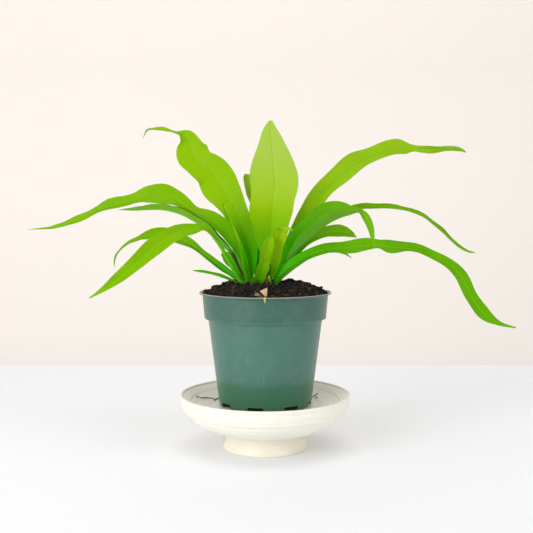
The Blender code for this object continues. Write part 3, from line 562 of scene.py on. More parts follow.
def scatter_tree():
    """Crumbs and fibres strewn over the upper faces of a mound, each turned, sized and dented at random."""
    sizes = {
        "Crumbs per area": "NodeSocketFloat",
        "Crumb size": "NodeSocketFloat",
        "Dent": "NodeSocketFloat",
        "Fibres per area": "NodeSocketFloat",
        "Fibre length": "NodeSocketFloat",
        "Steepest": "NodeSocketFloat",
        "Widest": "NodeSocketFloat",
        "Seed": "NodeSocketInt",
        "Material": "NodeSocketMaterial",
    }
    tree, given, out = new_tree("strewn_crumbs", sizes)
    normal = put(tree, "GeometryNodeInputNormal")
    upness = put(tree, "ShaderNodeSeparateXYZ", {"Vector": normal}).outputs["Z"]
    upper = put(tree, MATH, {0: upness, 1: given.outputs["Steepest"]}, operation="GREATER_THAN")
    flat_place = put(
        tree,
        "ShaderNodeVectorMath",
        {0: put(tree, "GeometryNodeInputPosition"), 1: (1.0, 1.0, 0.0)},
        operation="MULTIPLY",
    )
    off_axis = put(tree, "ShaderNodeVectorMath", {0: flat_place}, operation="LENGTH").outputs["Value"]
    inside = put(tree, MATH, {0: off_axis, 1: given.outputs["Widest"]}, operation="LESS_THAN")
    bedded = put(tree, MATH, {0: upper, 1: inside}, operation="MULTIPLY")
    joined = put(tree, "GeometryNodeJoinGeometry")

    crumb_points = put(
        tree,
        "GeometryNodeDistributePointsOnFaces",
        {
            "Mesh": given.outputs["Geometry"],
            "Selection": bedded,
            "Density": given.outputs["Crumbs per area"],
            "Seed": given.outputs["Seed"],
        },
    )
    ball = put(tree, "GeometryNodeMeshIcoSphere", {"Radius": 0.5, "Subdivisions": 2})
    turn = put(
        tree,
        "FunctionNodeRandomValue",
        {0: (0.0, 0.0, 0.0), 1: (math.tau, math.tau, math.tau), "Seed": 3},
        data_type="FLOAT_VECTOR",
    )
    chance = put(tree, "FunctionNodeRandomValue", {2: 0.0, 3: 1.0, "Seed": 5}, data_type="FLOAT")
    few_large = put(tree, MATH, {0: chance.outputs[1], 1: 2.6}, operation="POWER")
    grade = put(tree, MATH, {0: few_large, 1: 1.7, 2: 0.45}, operation="MULTIPLY_ADD")
    width = put(tree, MATH, {0: grade, 1: given.outputs["Crumb size"]}, operation="MULTIPLY")
    shape = put(
        tree,
        "FunctionNodeRandomValue",
        {0: (0.45, 0.55, 0.9), 1: (0.9, 1.1, 1.7), "Seed": 7},
        data_type="FLOAT_VECTOR",
    )
    scale = put(tree, "ShaderNodeVectorMath", {0: shape.outputs[0], "Scale": width}, operation="SCALE")
    crumbs = put(
        tree,
        "GeometryNodeInstanceOnPoints",
        {"Points": crumb_points, "Instance": ball, "Rotation": turn.outputs[0], "Scale": scale},
    )

    fibre_points = put(
        tree,
        "GeometryNodeDistributePointsOnFaces",
        {
            "Mesh": given.outputs["Geometry"],
            "Selection": bedded,
            "Density": given.outputs["Fibres per area"],
            "Seed": 40,
        },
    )
    strand = put(
        tree,
        "GeometryNodeCurveQuadraticBezier",
        {"Resolution": 7, "Start": (-0.5, 0.0, 0.0), "Middle": (0.0, 0.28, 0.10), "End": (0.5, 0.0, 0.05)},
    )
    round_section = put(tree, "GeometryNodeCurvePrimitiveCircle", {"Resolution": 5, "Radius": 0.022})
    stick = put(
        tree,
        "GeometryNodeCurveToMesh",
        {"Curve": strand, "Profile Curve": round_section.outputs["Curve"], "Fill Caps": True},
    )
    lie = put(
        tree,
        "FunctionNodeRandomValue",
        {0: (-0.35, -0.35, 0.0), 1: (0.35, 0.35, math.tau), "Seed": 11},
        data_type="FLOAT_VECTOR",
    )
    long = put(tree, "FunctionNodeRandomValue", {2: 0.5, 3: 1.3, "Seed": 13}, data_type="FLOAT")
    reach = put(tree, MATH, {0: long.outputs[1], 1: given.outputs["Fibre length"]}, operation="MULTIPLY")
    fibres = put(
        tree,
        "GeometryNodeInstanceOnPoints",
        {"Points": fibre_points, "Instance": stick, "Rotation": lie.outputs[0], "Scale": reach},
    )

    strewn = put(tree, "GeometryNodeJoinGeometry")
    tree.links.new(fibres.outputs[0], strewn.inputs[0])
    tree.links.new(crumbs.outputs[0], strewn.inputs[0])
    dryness = put(tree, "FunctionNodeRandomValue", {2: 0.0, 3: 1.0, "Seed": 17}, data_type="FLOAT")
    marked = put(
        tree,
        "GeometryNodeStoreNamedAttribute",
        {"Geometry": strewn, "Name": "dryness", "Value": dryness.outputs[1]},
        data_type="FLOAT",
        domain="INSTANCE",
    )
    real = put(tree, "GeometryNodeRealizeInstances", {"Geometry": marked})
    place = put(tree, "GeometryNodeInputPosition")
    rough = put(tree, NOISE, {"Vector": place, "Scale": 520.0, "Detail": 2.0})
    centred = put(
        tree,
        "ShaderNodeVectorMath",
        {0: rough.outputs["Color"], 1: (0.5, 0.5, 0.5)},
        operation="SUBTRACT",
    )
    dent = put(
        tree,
        "ShaderNodeVectorMath",
        {0: centred, "Scale": given.outputs["Dent"]},
        operation="SCALE",
    )
    dented = put(tree, "GeometryNodeSetPosition", {"Geometry": real, "Offset": dent})
    tree.links.new(given.outputs["Geometry"], joined.inputs[0])
    tree.links.new(dented.outputs[0], joined.inputs[0])
    smooth = put(tree, "GeometryNodeSetShadeSmooth", {"Geometry": joined, "Shade Smooth": False})
    whole = put(tree, "GeometryNodeRealizeInstances", {"Geometry": smooth})
    finished = put(
        tree,
        "GeometryNodeSetMaterial",
        {"Geometry": whole, "Material": given.outputs["Material"]},
    )
    tree.links.new(finished.outputs[0], out.inputs[0])
    return tree


def roughened(mesh, amount, scale, lowest_z, seed):
    """Points above a height moved up and down by smooth noise, for an uneven surface."""
    for vertex in mesh.vertices:
        if vertex.co.z > lowest_z:
            spot = vertex.co * scale + Vector((seed, 0.0, 0.0))
            vertex.co.z += amount * noise.noise(spot)


def ramped(tree, share, stops):
    """The colour at a share of the way through stops of place and hex colour."""
    ramp = put(tree, "ShaderNodeValToRGB", {"Fac": share})
    elements = ramp.color_ramp.elements
    while len(elements) < len(stops):
        elements.new(0.5)
    for element, (spot, colour) in zip(elements, stops):
        element.position = spot
        element.color = hex_linear(colour)
    return ramp.outputs["Color"]


def potting_mix():
    """Peat and bark crumbs: nearly black where damp, brown to tan where dry, quite without gloss."""
    material, tree = new_material("moist_potting_mix")
    place = put(tree, "ShaderNodeTexCoord").outputs["Object"]
    dryness = put(tree, "ShaderNodeAttribute", attribute_name="dryness")
    grain = put(tree, NOISE, {"Vector": place, "Scale": 420.0, "Detail": 5.0, "Roughness": 0.7})
    broad = put(tree, NOISE, {"Vector": place, "Scale": 34.0, "Detail": 2.0})
    shifted = put(tree, MATH, (grain, 0.45, dryness.outputs["Fac"]), operation="MULTIPLY_ADD")
    patched = put(tree, MATH, (broad, 0.5, shifted), operation="MULTIPLY_ADD")
    shade = put(tree, MAP_RANGE, (patched, 0.35, 1.75))
    stops = ((0.0, "#080604"), (0.45, "#150E09"), (0.66, "#2C1C13"), (0.82, "#5A3B28"), (0.95, "#94714C"))
    colour = ramped(tree, shade, stops)
    bump = put(tree, "ShaderNodeBump", {"Strength": 0.8, "Distance": 0.0006, "Height": grain})
    shader = put(
        tree,
        "ShaderNodeBsdfPrincipled",
        {"Base Color": colour, "Roughness": 0.88, "IOR": 1.4, "Normal": bump},
    )
    return surfaced(material, shader)


soil_mix = potting_mix()
crumb_tree = scatter_tree()
soil = new_piece("potting_mix", turned_mesh("potting_mix", soil_profile, 120), soil_mix)
roughened(soil.data, 2.2 * MM, 130.0, SOIL_EDGE_Z - 3 * MM, 2.0)
roughened(soil.data, 0.9 * MM, 420.0, SOIL_EDGE_Z - 3 * MM, 9.0)
soil_sizes = {
    "Crumbs per area": 300000.0,
    "Crumb size": 1.9 * MM,
    "Dent": 1.5 * MM,
    "Fibres per area": 15000.0,
    "Fibre length": 9.0 * MM,
    "Steepest": 0.35,
    "Widest": SOIL_EDGE_RADIUS - 2.4 * MM,
    "Seed": 4,
    "Material": soil_mix,
}
grown(soil, crumb_tree, soil_sizes)
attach(soil, "root")
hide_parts("potting_soil")


# ---------------------------------------------------------------- Crown
# The fern's short root stock, a lump of dark matted fibre and scales, half sunk in the mix. The fronds
# grow out of it close together.

CROWN_LOW, CROWN_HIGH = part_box("crown")
CROWN_TOP = np.array([(CROWN_LOW.x + CROWN_HIGH.x) / 2, 0.0, CROWN_HIGH.z])


def crown_fibre():
    """Dry scales and root fibre: dull, almost black, browner at the tips."""
    material, tree = new_material("crown_fibre")
    place = put(tree, "ShaderNodeTexCoord").outputs["Object"]
    grain = put(tree, NOISE, {"Vector": place, "Scale": 500.0, "Detail": 4.0})
    colour = layered(tree, "#140D08", ((grain, "#4A3424"),))
    shader = put(tree, "ShaderNodeBsdfPrincipled", {"Base Color": colour, "Roughness": 0.85, "IOR": 1.4})
    return surfaced(material, shader)


def lump_mesh(name, low, high):
    """A lump that fills a box, with a coarse bumpy surface."""
    build = bmesh.new()
    bmesh.ops.create_icosphere(build, subdivisions=5, radius=1.0)
    middle, reach = (low + high) / 2, (high - low) / 2
    for vertex in build.verts:
        dent = 1.0 - 0.14 * abs(noise.noise(vertex.co * 4.0)) - 0.08 * abs(noise.noise(vertex.co * 11.0))
        vertex.co = Vector([middle[i] + vertex.co[i] * reach[i] * dent for i in range(3)])
    return smooth_mesh(name, build)


fibre = crown_fibre()
crown = new_piece("fern_crown", lump_mesh("fern_crown", CROWN_LOW, CROWN_HIGH), fibre)
crown_sizes = {
    "Crumbs per area": 60000.0,
    "Crumb size": 1.6 * MM,
    "Dent": 1.0 * MM,
    "Fibres per area": 130000.0,
    "Fibre length": 5.5 * MM,
    "Steepest": 0.1,
    "Widest": 1.0,
    "Seed": 8,
    "Material": fibre,
}
grown(crown, crumb_tree, crown_sizes)
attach(crown, "root")
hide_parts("crown")


# ---------------------------------------------------------------- Fronds
# Strap-shaped blades, each one undivided leaf with a pale midrib, channelled to a narrow stalk at its
# foot. The upper side has a soft gloss over lime green; the underside is paler, and light shows through.
# Each row gives a point on the midrib from the crown's top, the half width, the roll and the fold.

FRONDS = {
    "centre_frond": (80, (
        (5, 1, 4, 2.2, 0, 50), (5.5, 2, 19, 6, 0, 45), (6.5, 4, 35.5, 12, 0, 30),
        (8, 6, 49.5, 16.6, 0, 22), (8.5, 8, 59.5, 18.8, 0, 16), (9.5, 10, 70, 19, 0, 13),
        (11, 12, 82, 20.5, 0, 12), (10, 14, 92, 20, 0, 10), (9, 16, 103.5, 16.8, 0, 9),
        (8, 19, 116.5, 11.5, 0, 8), (7, 21, 127.5, 6.8, 0, 6), (7.5, 23, 136.5, 1.5, 0, 5),
    )),
    "upper_left_frond": (150, (
        (-9, 5, 3.5, 2.2, -50, 50), (-10, 9, 22, 8.6, -58, 40), (-14, 12, 41, 11.5, -62, 28),
        (-21.5, 13, 60.5, 11, -65, 20), (-28, 16, 72, 13.6, -65, 14), (-34.5, 19, 81.5, 16, -65, 10),
        (-41, 22, 92.5, 15, -65, 10), (-51.5, 25, 100.5, 12.8, -65, 10), (-59, 28, 110.5, 14, -65, 10),
        (-63, 31, 122, 7.4, -60, 20), (-73.5, 34, 128, 2.6, -30, 30), (-86, 37, 130.5, 1.9, -20, 25),
        (-97, 38, 130.5, 1.3, -20, 20), (-101.5, 38, 123.5, 0.4, -20, 10),
    )),
    "long_left_frond": (187, (
        (-10.5, -1, 2.5, 2.2, -30, 50), (-17.5, 0, 19.5, 6, -40, 45), (-26, 2, 35.5, 9, -50, 35),
        (-34.5, 4, 47.5, 8.8, -55, 25), (-45, 6, 56, 7.4, -45, 20), (-56, 8, 61, 6.8, -35, 15),
        (-65, 10, 66, 7.7, -45, 15), (-72.5, 12, 71, 8.3, -60, 15), (-82, 13, 74.5, 9.8, -65, 15),
        (-93, 14, 73.5, 8.5, -60, 15), (-105, 15, 70.5, 7, -45, 20), (-125.5, 18, 65, 6.5, -45, 25),
        (-137.5, 19, 61, 5, -45, 25), (-147, 20, 56.5, 4, -45, 25), (-159.5, 21, 51.5, 3.4, -45, 20),
        (-172.5, 22, 48, 2.8, -45, 20), (-180, 22.5, 46.5, 1.5, -30, 15), (-189, 23, 46, 0.7, -30, 10),
        (-197, 23, 45.5, 0.4, -20, 10),
    )),
    "under_left_frond": (178, (
        (-12, -7, 2, 1.6, -20, 50), (-18, -9, 14, 1.6, -20, 40), (-25, -8.5, 28, 2.4, -10, 45),
        (-34.5, -6, 36.5, 4.5, -5, 45), (-42.5, -2, 44.5, 5, -5, 50), (-52, 2.5, 52, 5.2, -5, 50),
        (-66.5, 5.5, 59.5, 5.2, -5, 45), (-80, 8, 63, 5, 0, 45), (-92.5, 10, 63.5, 4.5, 0, 35),
        (-104.5, 12, 63, 3, 0, 30), (-119, 14, 62, 0.5, 0, 10),
    )),
    "low_left_frond": (212, (
        (-16, -7, 1, 1.6, -30, 50), (-24, -12, 15.5, 2.2, -35, 40), (-31.5, -18, 30.5, 2.2, -40, 35),
        (-38.5, -23, 41, 2, -50, 30), (-43, -26, 46, 2.2, -60, 20), (-47, -28, 48, 2.8, -65, 12),
        (-53.5, -31, 47, 4.6, -65, 12), (-61.5, -35, 45.5, 5.8, -65, 12), (-70, -39, 42, 6.4, -65, 12),
        (-82.5, -44, 33.5, 7.3, -65, 12), (-94.5, -49, 22.5, 6, -65, 12), (-109, -54, 10, 4.2, -65, 10),
        (-120, -58, 1.5, 2, -65, 8), (-129.5, -60, -4.5, 0.5, -60, 5),
    )),
    "back_left_frond": (160, (
        (-14.5, 3, 0.5, 1.6, -20, 50), (-22, 7, 5.5, 2.6, -30, 40), (-31.5, 12, 11.5, 4.2, -40, 35),
        (-42, 18, 19.5, 3.4, -45, 25), (-52, 23, 27, 3.2, -45, 22), (-61.5, 28, 33, 4.8, -45, 20),
        (-74.5, 34, 38, 7, -45, 20), (-88, 40, 40.5, 7.4, -45, 20), (-98.5, 44, 39, 6.1, -45, 20),
        (-108.5, 47, 36.5, 3.4, -40, 20), (-117.5, 49, 32.5, 1.9, -40, 20),
        (-125, 51, 26.5, 1.5, -40, 20), (-129, 52, 20, 1.6, -40, 15), (-130, 53, 11.5, 0.5, -40, 10),
    )),
    "thin_left_frond": (190, (
        (-17, -2, 0.5, 1.2, -20, 30), (-25, -6, 5, 1.6, -30, 25), (-36, -10, 9.5, 1.9, -40, 20),
        (-46, -14, 12, 1.6, -40, 20), (-55, -17, 13.5, 0.4, -40, 10),
    )),
    "short_left_frond": (140, (
        (-12, 9, 0.5, 1.5, -50, 40), (-17, 13, 7.5, 3, -60, 25), (-22.5, 18, 16, 5, -65, 15),
        (-28, 21, 21.5, 5, -65, 12), (-33.5, 24, 25.5, 1.8, -65, 5),
    )),
    "young_curled_frond": (175, (
        (-12.5, -12, 3, 1.2, -40, 40), (-16, -14, 20, 1.6, -50, 35), (-20, -15, 38, 1.9, -60, 35),
        (-24.5, -16, 50.5, 2, -60, 35), (-29, -17, 61, 1.8, -60, 35), (-30, -17, 66, 1.4, -60, 30),
        (-28, -17, 68.5, 1.2, -60, 30), (-25, -17, 68.5, 1, -60, 30), (-24, -17, 66, 0.8, -60, 30),
        (-25, -17, 63, 0.4, -60, 20),
    )),
    "back_rolled_frond": (100, (
        (-4, 10, 3, 3.6, 0, 50), (-4, 15, 22, 4.8, 0, 45), (-6.5, 21, 45, 2.8, 0, 50),
        (-8, 27, 65, 3, 5, 45), (-10.5, 30, 74.5, 4.4, 10, 35), (-12.5, 32, 82.5, 4.9, 20, 30),
        (-13, 34, 88.5, 4.6, 20, 25), (-13, 35, 92.5, 2.2, 20, 20),
    )),
    "front_hooded_frond": (75, (
        (5, -13, 2, 1.8, 0, 50), (8, -13, 10.5, 4.5, 0, 40), (9, -16, 18.5, 6.3, 0, 30),
        (10.5, -19, 26.5, 6.8, 0, 25), (12.5, -22, 35, 6.2, 0, 22), (14.5, -26, 41.5, 6.2, 0, 20),
        (16.5, -29, 46, 5.5, 0, 20), (20.5, -32, 47.5, 3, 10, 20), (24.5, -34, 46, 0.5, 10, 10),
    )),
    "front_short_frond": (110, (
        (-3, -13.5, 1.5, 3.2, 0, 30), (-4, -19, 6, 6.6, 0, 20), (-1, -22, 11, 4.9, 0, 20),
        (0.5, -25, 16.5, 5.8, 0, 20), (2, -27, 22, 4.8, 0, 20), (2.5, -29, 27, 5.2, 0, 18),
        (4.5, -31, 33, 5, 0, 16), (6.5, -32, 38.5, 3.6, 0, 14), (8.5, -32, 42.5, 0.5, 0, 10),
    )),
    "upper_right_frond": (20, (
        (11, 5, 4, 2.2, 40, 50), (19.5, 8, 23.5, 5, 50, 45), (29.5, 12, 43.5, 6.5, 55, 30),
        (39, 16, 58.5, 8.5, 50, 25), (49, 21, 73, 9, 50, 27), (63.5, 26, 87.5, 10.1, 50, 25),
        (78, 31, 99, 10.6, 50, 25), (93.5, 36, 107.5, 8.4, 50, 25), (106, 39, 112, 9.1, 50, 22),
        (118.5, 42, 114, 8.8, 52, 20), (129.5, 44, 115, 3.4, 70, 15), (138.5, 46, 114.5, 3.2, 120, 15),
        (153.5, 49, 115.5, 4.9, 150, 20), (166, 52, 116, 4.4, 160, 20), (174, 53.5, 114.5, 2.4, 160, 15),
        (178.5, 54, 112, 0.4, 160, 10),
    )),
    "right_bent_frond": (-15, (
        (14, -6, 4, 2.2, 30, 50), (20.5, -9, 18.5, 6, 38, 50), (28.5, -13, 31.5, 10.5, 38, 50),
        (38, -18, 40.5, 14, 36, 53), (49.5, -23, 50, 15, 34, 53), (60.5, -27, 56.5, 14, 30, 50),
        (69.5, -31, 59.5, 7.8, 22, 45), (75, -33, 61, 2.6, 30, 30), (81, -37, 56, 3.1, 70, 15),
        (84.5, -40, 48, 2.6, 80, 12), (86, -42, 39.5, 1.4, 80, 10), (87.5, -43, 32.5, 0.4, 80, 5),
    )),
    "thin_right_frond": (30, (
        (11, 11, 4.5, 1.8, 30, 50), (21, 19, 21.5, 3.5, 40, 40), (37, 29, 38, 4.5, 40, 35),
        (57, 38, 53.5, 5, 30, 35), (78.5, 45, 62.5, 4, 30, 30), (99, 49, 64.5, 3.8, 40, 25),
        (121.5, 55, 63.5, 2.8, 40, 25), (142.5, 60, 57, 2.6, 40, 25), (160, 63, 44, 2.8, 45, 20),
        (174.5, 65, 30.5, 2.2, 50, 20), (184, 66, 25, 1.4, 60, 15), (190.5, 66, 24, 0.4, 60, 10),
    )),
    "short_right_frond": (35, (
        (14.5, 3, 2, 1.5, 20, 50), (21, 7, 14, 3, 30, 40), (30, 13, 26.5, 3.8, 40, 35),
        (40, 20, 36, 4, 50, 30), (53.5, 28, 42.5, 5.2, 60, 20), (67, 36, 43.5, 5.9, 65, 15),
        (77, 41, 41, 3.6, 65, 15), (82, 43, 38, 0.4, 60, 10),
    )),
    "long_right_frond": (-8, (
        (10, -11.5, 1.5, 2, 30, 50), (18.5, -17, 12.5, 4.8, 40, 40), (31.5, -18, 22, 5.4, 45, 35),
        (49.5, -17, 30, 5.4, 50, 15), (67.5, -17, 31.5, 6.4, 50, 12), (85, -17, 33.5, 6.2, 50, 12),
        (94, -17, 34, 5, 50, 12), (102.5, -17, 32.5, 6.9, 50, 12), (118, -17, 30.5, 6, 34, 20),
        (133, -18, 27, 4.5, 55, 30), (147.5, -19, 20, 4.5, 70, 20), (159.5, -20, 8.5, 5.1, 75, 15),
        (167.5, -21, -7.5, 5.4, 75, 12), (177, -22, -20.5, 5.2, 70, 12),
        (189.5, -22.5, -28.5, 2.2, 60, 12), (203, -23, -32, 0.5, 60, 10),
    )),
    "low_back_right_frond": (28, (
        (11.5, -2.5, 0.5, 1.2, 20, 40), (23.5, 3, 12, 2.2, 40, 30), (36, 10, 21, 2.6, 50, 25),
        (50.5, 17, 26.5, 2.8, 50, 20), (62.5, 23, 27.5, 2.4, 55, 15), (70.5, 27, 25, 1.4, 55, 15),
        (76.5, 29, 21, 0.4, 50, 10),
    )),
}
# Edge waves: height and length in mm, and where the wave starts, for the fronds that ruffle.
WAVES = {
    "upper_left_frond": (1.6, 34.0, 0.4),
    "centre_frond": (0.9, 46.0, 1.2),
    "upper_right_frond": (1.0, 42.0, 2.0),
    "long_left_frond": (1.0, 38.0, 0.2),
    "long_right_frond": (1.1, 40.0, 1.0),
    "right_bent_frond": (0.8, 30.0, 0.5),
    "low_left_frond": (0.6, 36.0, 0.0),
}
SMALL_WAVE = (0.4, 26.0, 0.7)
# How far a frond's colour leans from green (0) to yellow lime (1).
TONES = {
    "front_hooded_frond": 0.85,
    "front_short_frond": 0.62,
    "centre_frond": 0.95,
    "upper_right_frond": 0.66,
    "upper_left_frond": 0.58,
    "young_curled_frond": 0.55,
    "back_rolled_frond": 0.95,
    "low_left_frond": 0.40,
    "long_left_frond": 0.36,
    "back_left_frond": 0.35,
    "short_left_frond": 0.30,
    "thin_right_frond": 0.25,
    "short_right_frond": 0.25,
    "long_right_frond": 0.04,
}
# How much further grown a frond's colour is than its length. The fronds at the front stand in shade, so
# this paints them lighter and yellower lower down, as painted light in place of light from the front.
PAINTED_LIGHT_AHEAD = {"front_hooded_frond": 25 * MM, "front_short_frond": 22 * MM, "young_curled_frond": 15 * MM}
# Fronds whose upper part is paler, and how far.
PALE_TOPS = {"centre_frond": 0.8, "back_rolled_frond": 1.0, "upper_right_frond": 0.1}
# A frond whose stalk has dried brown, and how far up from its foot.
DRIED_STALKS = {"under_left_frond": 32 * MM}
STATION_STEP = 1.6 * MM
BLADE_THICKNESS = 0.7 * MM
RIB_THICKNESS = 0.8 * MM
RIB_WIDTH = 0.9 * MM
POINTS_AROUND = 81
# The edge waves fade in from this share of the length over the next, and out over the last.
WAVE_STARTS, WAVE_GROWS, WAVE_ENDS = 0.15, 0.2, 0.15
# The right edge's wave starts later than the left one's and is shorter.
RIGHT_WAVE_START, RIGHT_WAVE_LENGTH = 2.3, 0.83
# Where a fading top starts to pale, how long it takes, and how long a dried stalk takes to turn green.
PALE_FROM, PALE_OVER, DRIED_OVER = 56 * MM, 50 * MM, 6 * MM
VEIN_SPACING = 2.0 * MM
VEIN_LEAN = 0.55


def smooth_path(rows, places):
    """A Catmull-Rom curve through the rows at these places, counted in rows."""
    rows = np.asarray(rows, float)
    spans = len(rows) - 1
    ends = np.vstack([2 * rows[0] - rows[1], rows, 2 * rows[-1] - rows[-2]])
    span = np.minimum(places.astype(int), spans - 1)
    t = (places - span)[:, None]
    before, start, end, after = (ends[span + step] for step in range(4))
    return 0.5 * (
        2 * start
        + (end - before) * t
        + (2 * before - 5 * start + 4 * end - after) * t**2
        + (3 * start - before - 3 * end + after) * t**3
    )


def unit(vectors):
    return vectors / np.linalg.norm(vectors, axis=-1, keepdims=True)


def midrib_stations(direction, rows, wave):
    """Close stations along the midrib, each with its sideways and upward vectors and its sizes."""
    rows = np.asarray(rows, float)
    points = rows[:, :3] * MM
    along = unit(np.gradient(points, axis=0))
    angle = math.radians(direction)
    level = np.array([-math.sin(angle), math.cos(angle), 0.0])
    side = unit(level - (along @ level)[:, None] * along)
    roll = np.radians(rows[:, 4])[:, None]
    side = side * np.cos(roll) + np.cross(along, side) * np.sin(roll)
    table = np.hstack([points, side, rows[:, 3:4] * MM, rows[:, 5:6]])
    length = np.linalg.norm(np.diff(points, axis=0), axis=1).sum()
    count = max(int(length / STATION_STEP), 24)
    path = smooth_path(table, np.linspace(0.0, len(rows) - 1.0, count))
    points, side = path[:, :3], path[:, 3:6]
    along = unit(np.gradient(points, axis=0))
    side = unit(side - (side * along).sum(axis=1)[:, None] * along)
    face = np.cross(along, side)
    run = np.concatenate([[0.0], np.cumsum(np.linalg.norm(np.diff(points, axis=0), axis=1))])
    half_width = np.maximum(path[:, 6], 0.25 * MM)
    height, wave_length, start = wave
    window = np.clip((run - WAVE_STARTS * length) / (WAVE_GROWS * length), 0, 1)
    window *= np.clip((length - run) / (WAVE_ENDS * length), 0, 1)
    left = height * MM * np.sin(start + run * math.tau / (wave_length * MM)) * window
    right_turn = start + RIGHT_WAVE_START + run * math.tau / (wave_length * RIGHT_WAVE_LENGTH * MM)
    right = height * MM * np.sin(right_turn) * window
    thick = np.minimum(half_width / (3.0 * MM), 1.0)
    # The first and last stations close the blade's ends.
    repeat = np.concatenate([[0], np.arange(count), [count - 1]])
    points, side, face, run = points[repeat], side[repeat], face[repeat], run[repeat]
    half_width, left, right, thick = half_width[repeat], left[repeat], right[repeat], thick[repeat]
    fold = np.radians(path[:, 7])[repeat]
    for sizes in (half_width, thick, left, right):
        sizes[[0, -1]] = 0.0
    reach = side * (half_width * np.cos(fold))[:, None]
    lift = face * (half_width * np.sin(fold))[:, None]
    return {
        "points": points + CROWN_TOP,
        "reach": reach,
        "lift": lift,
        "face": face,
        "half_width": half_width,
        "thick": thick,
        "wave_left": left,
        "wave_right": right,
        "run": run,
    }


def midrib_mesh(name, stations):
    """The stations as a line of points that carry their vectors and sizes as attributes."""
    count = len(stations["points"])
    mesh = bpy.data.meshes.new(name)
    mesh.from_pydata(stations["points"].tolist(), [(i, i + 1) for i in range(count - 1)], [])
    for label, values in stations.items():
        if label == "points":
            continue
        kind = "FLOAT_VECTOR" if values.ndim == 2 else "FLOAT"
        attribute = mesh.attributes.new(label, kind, "POINT")
        attribute.data.foreach_set("vector" if values.ndim == 2 else "value", values.ravel())
    return mesh


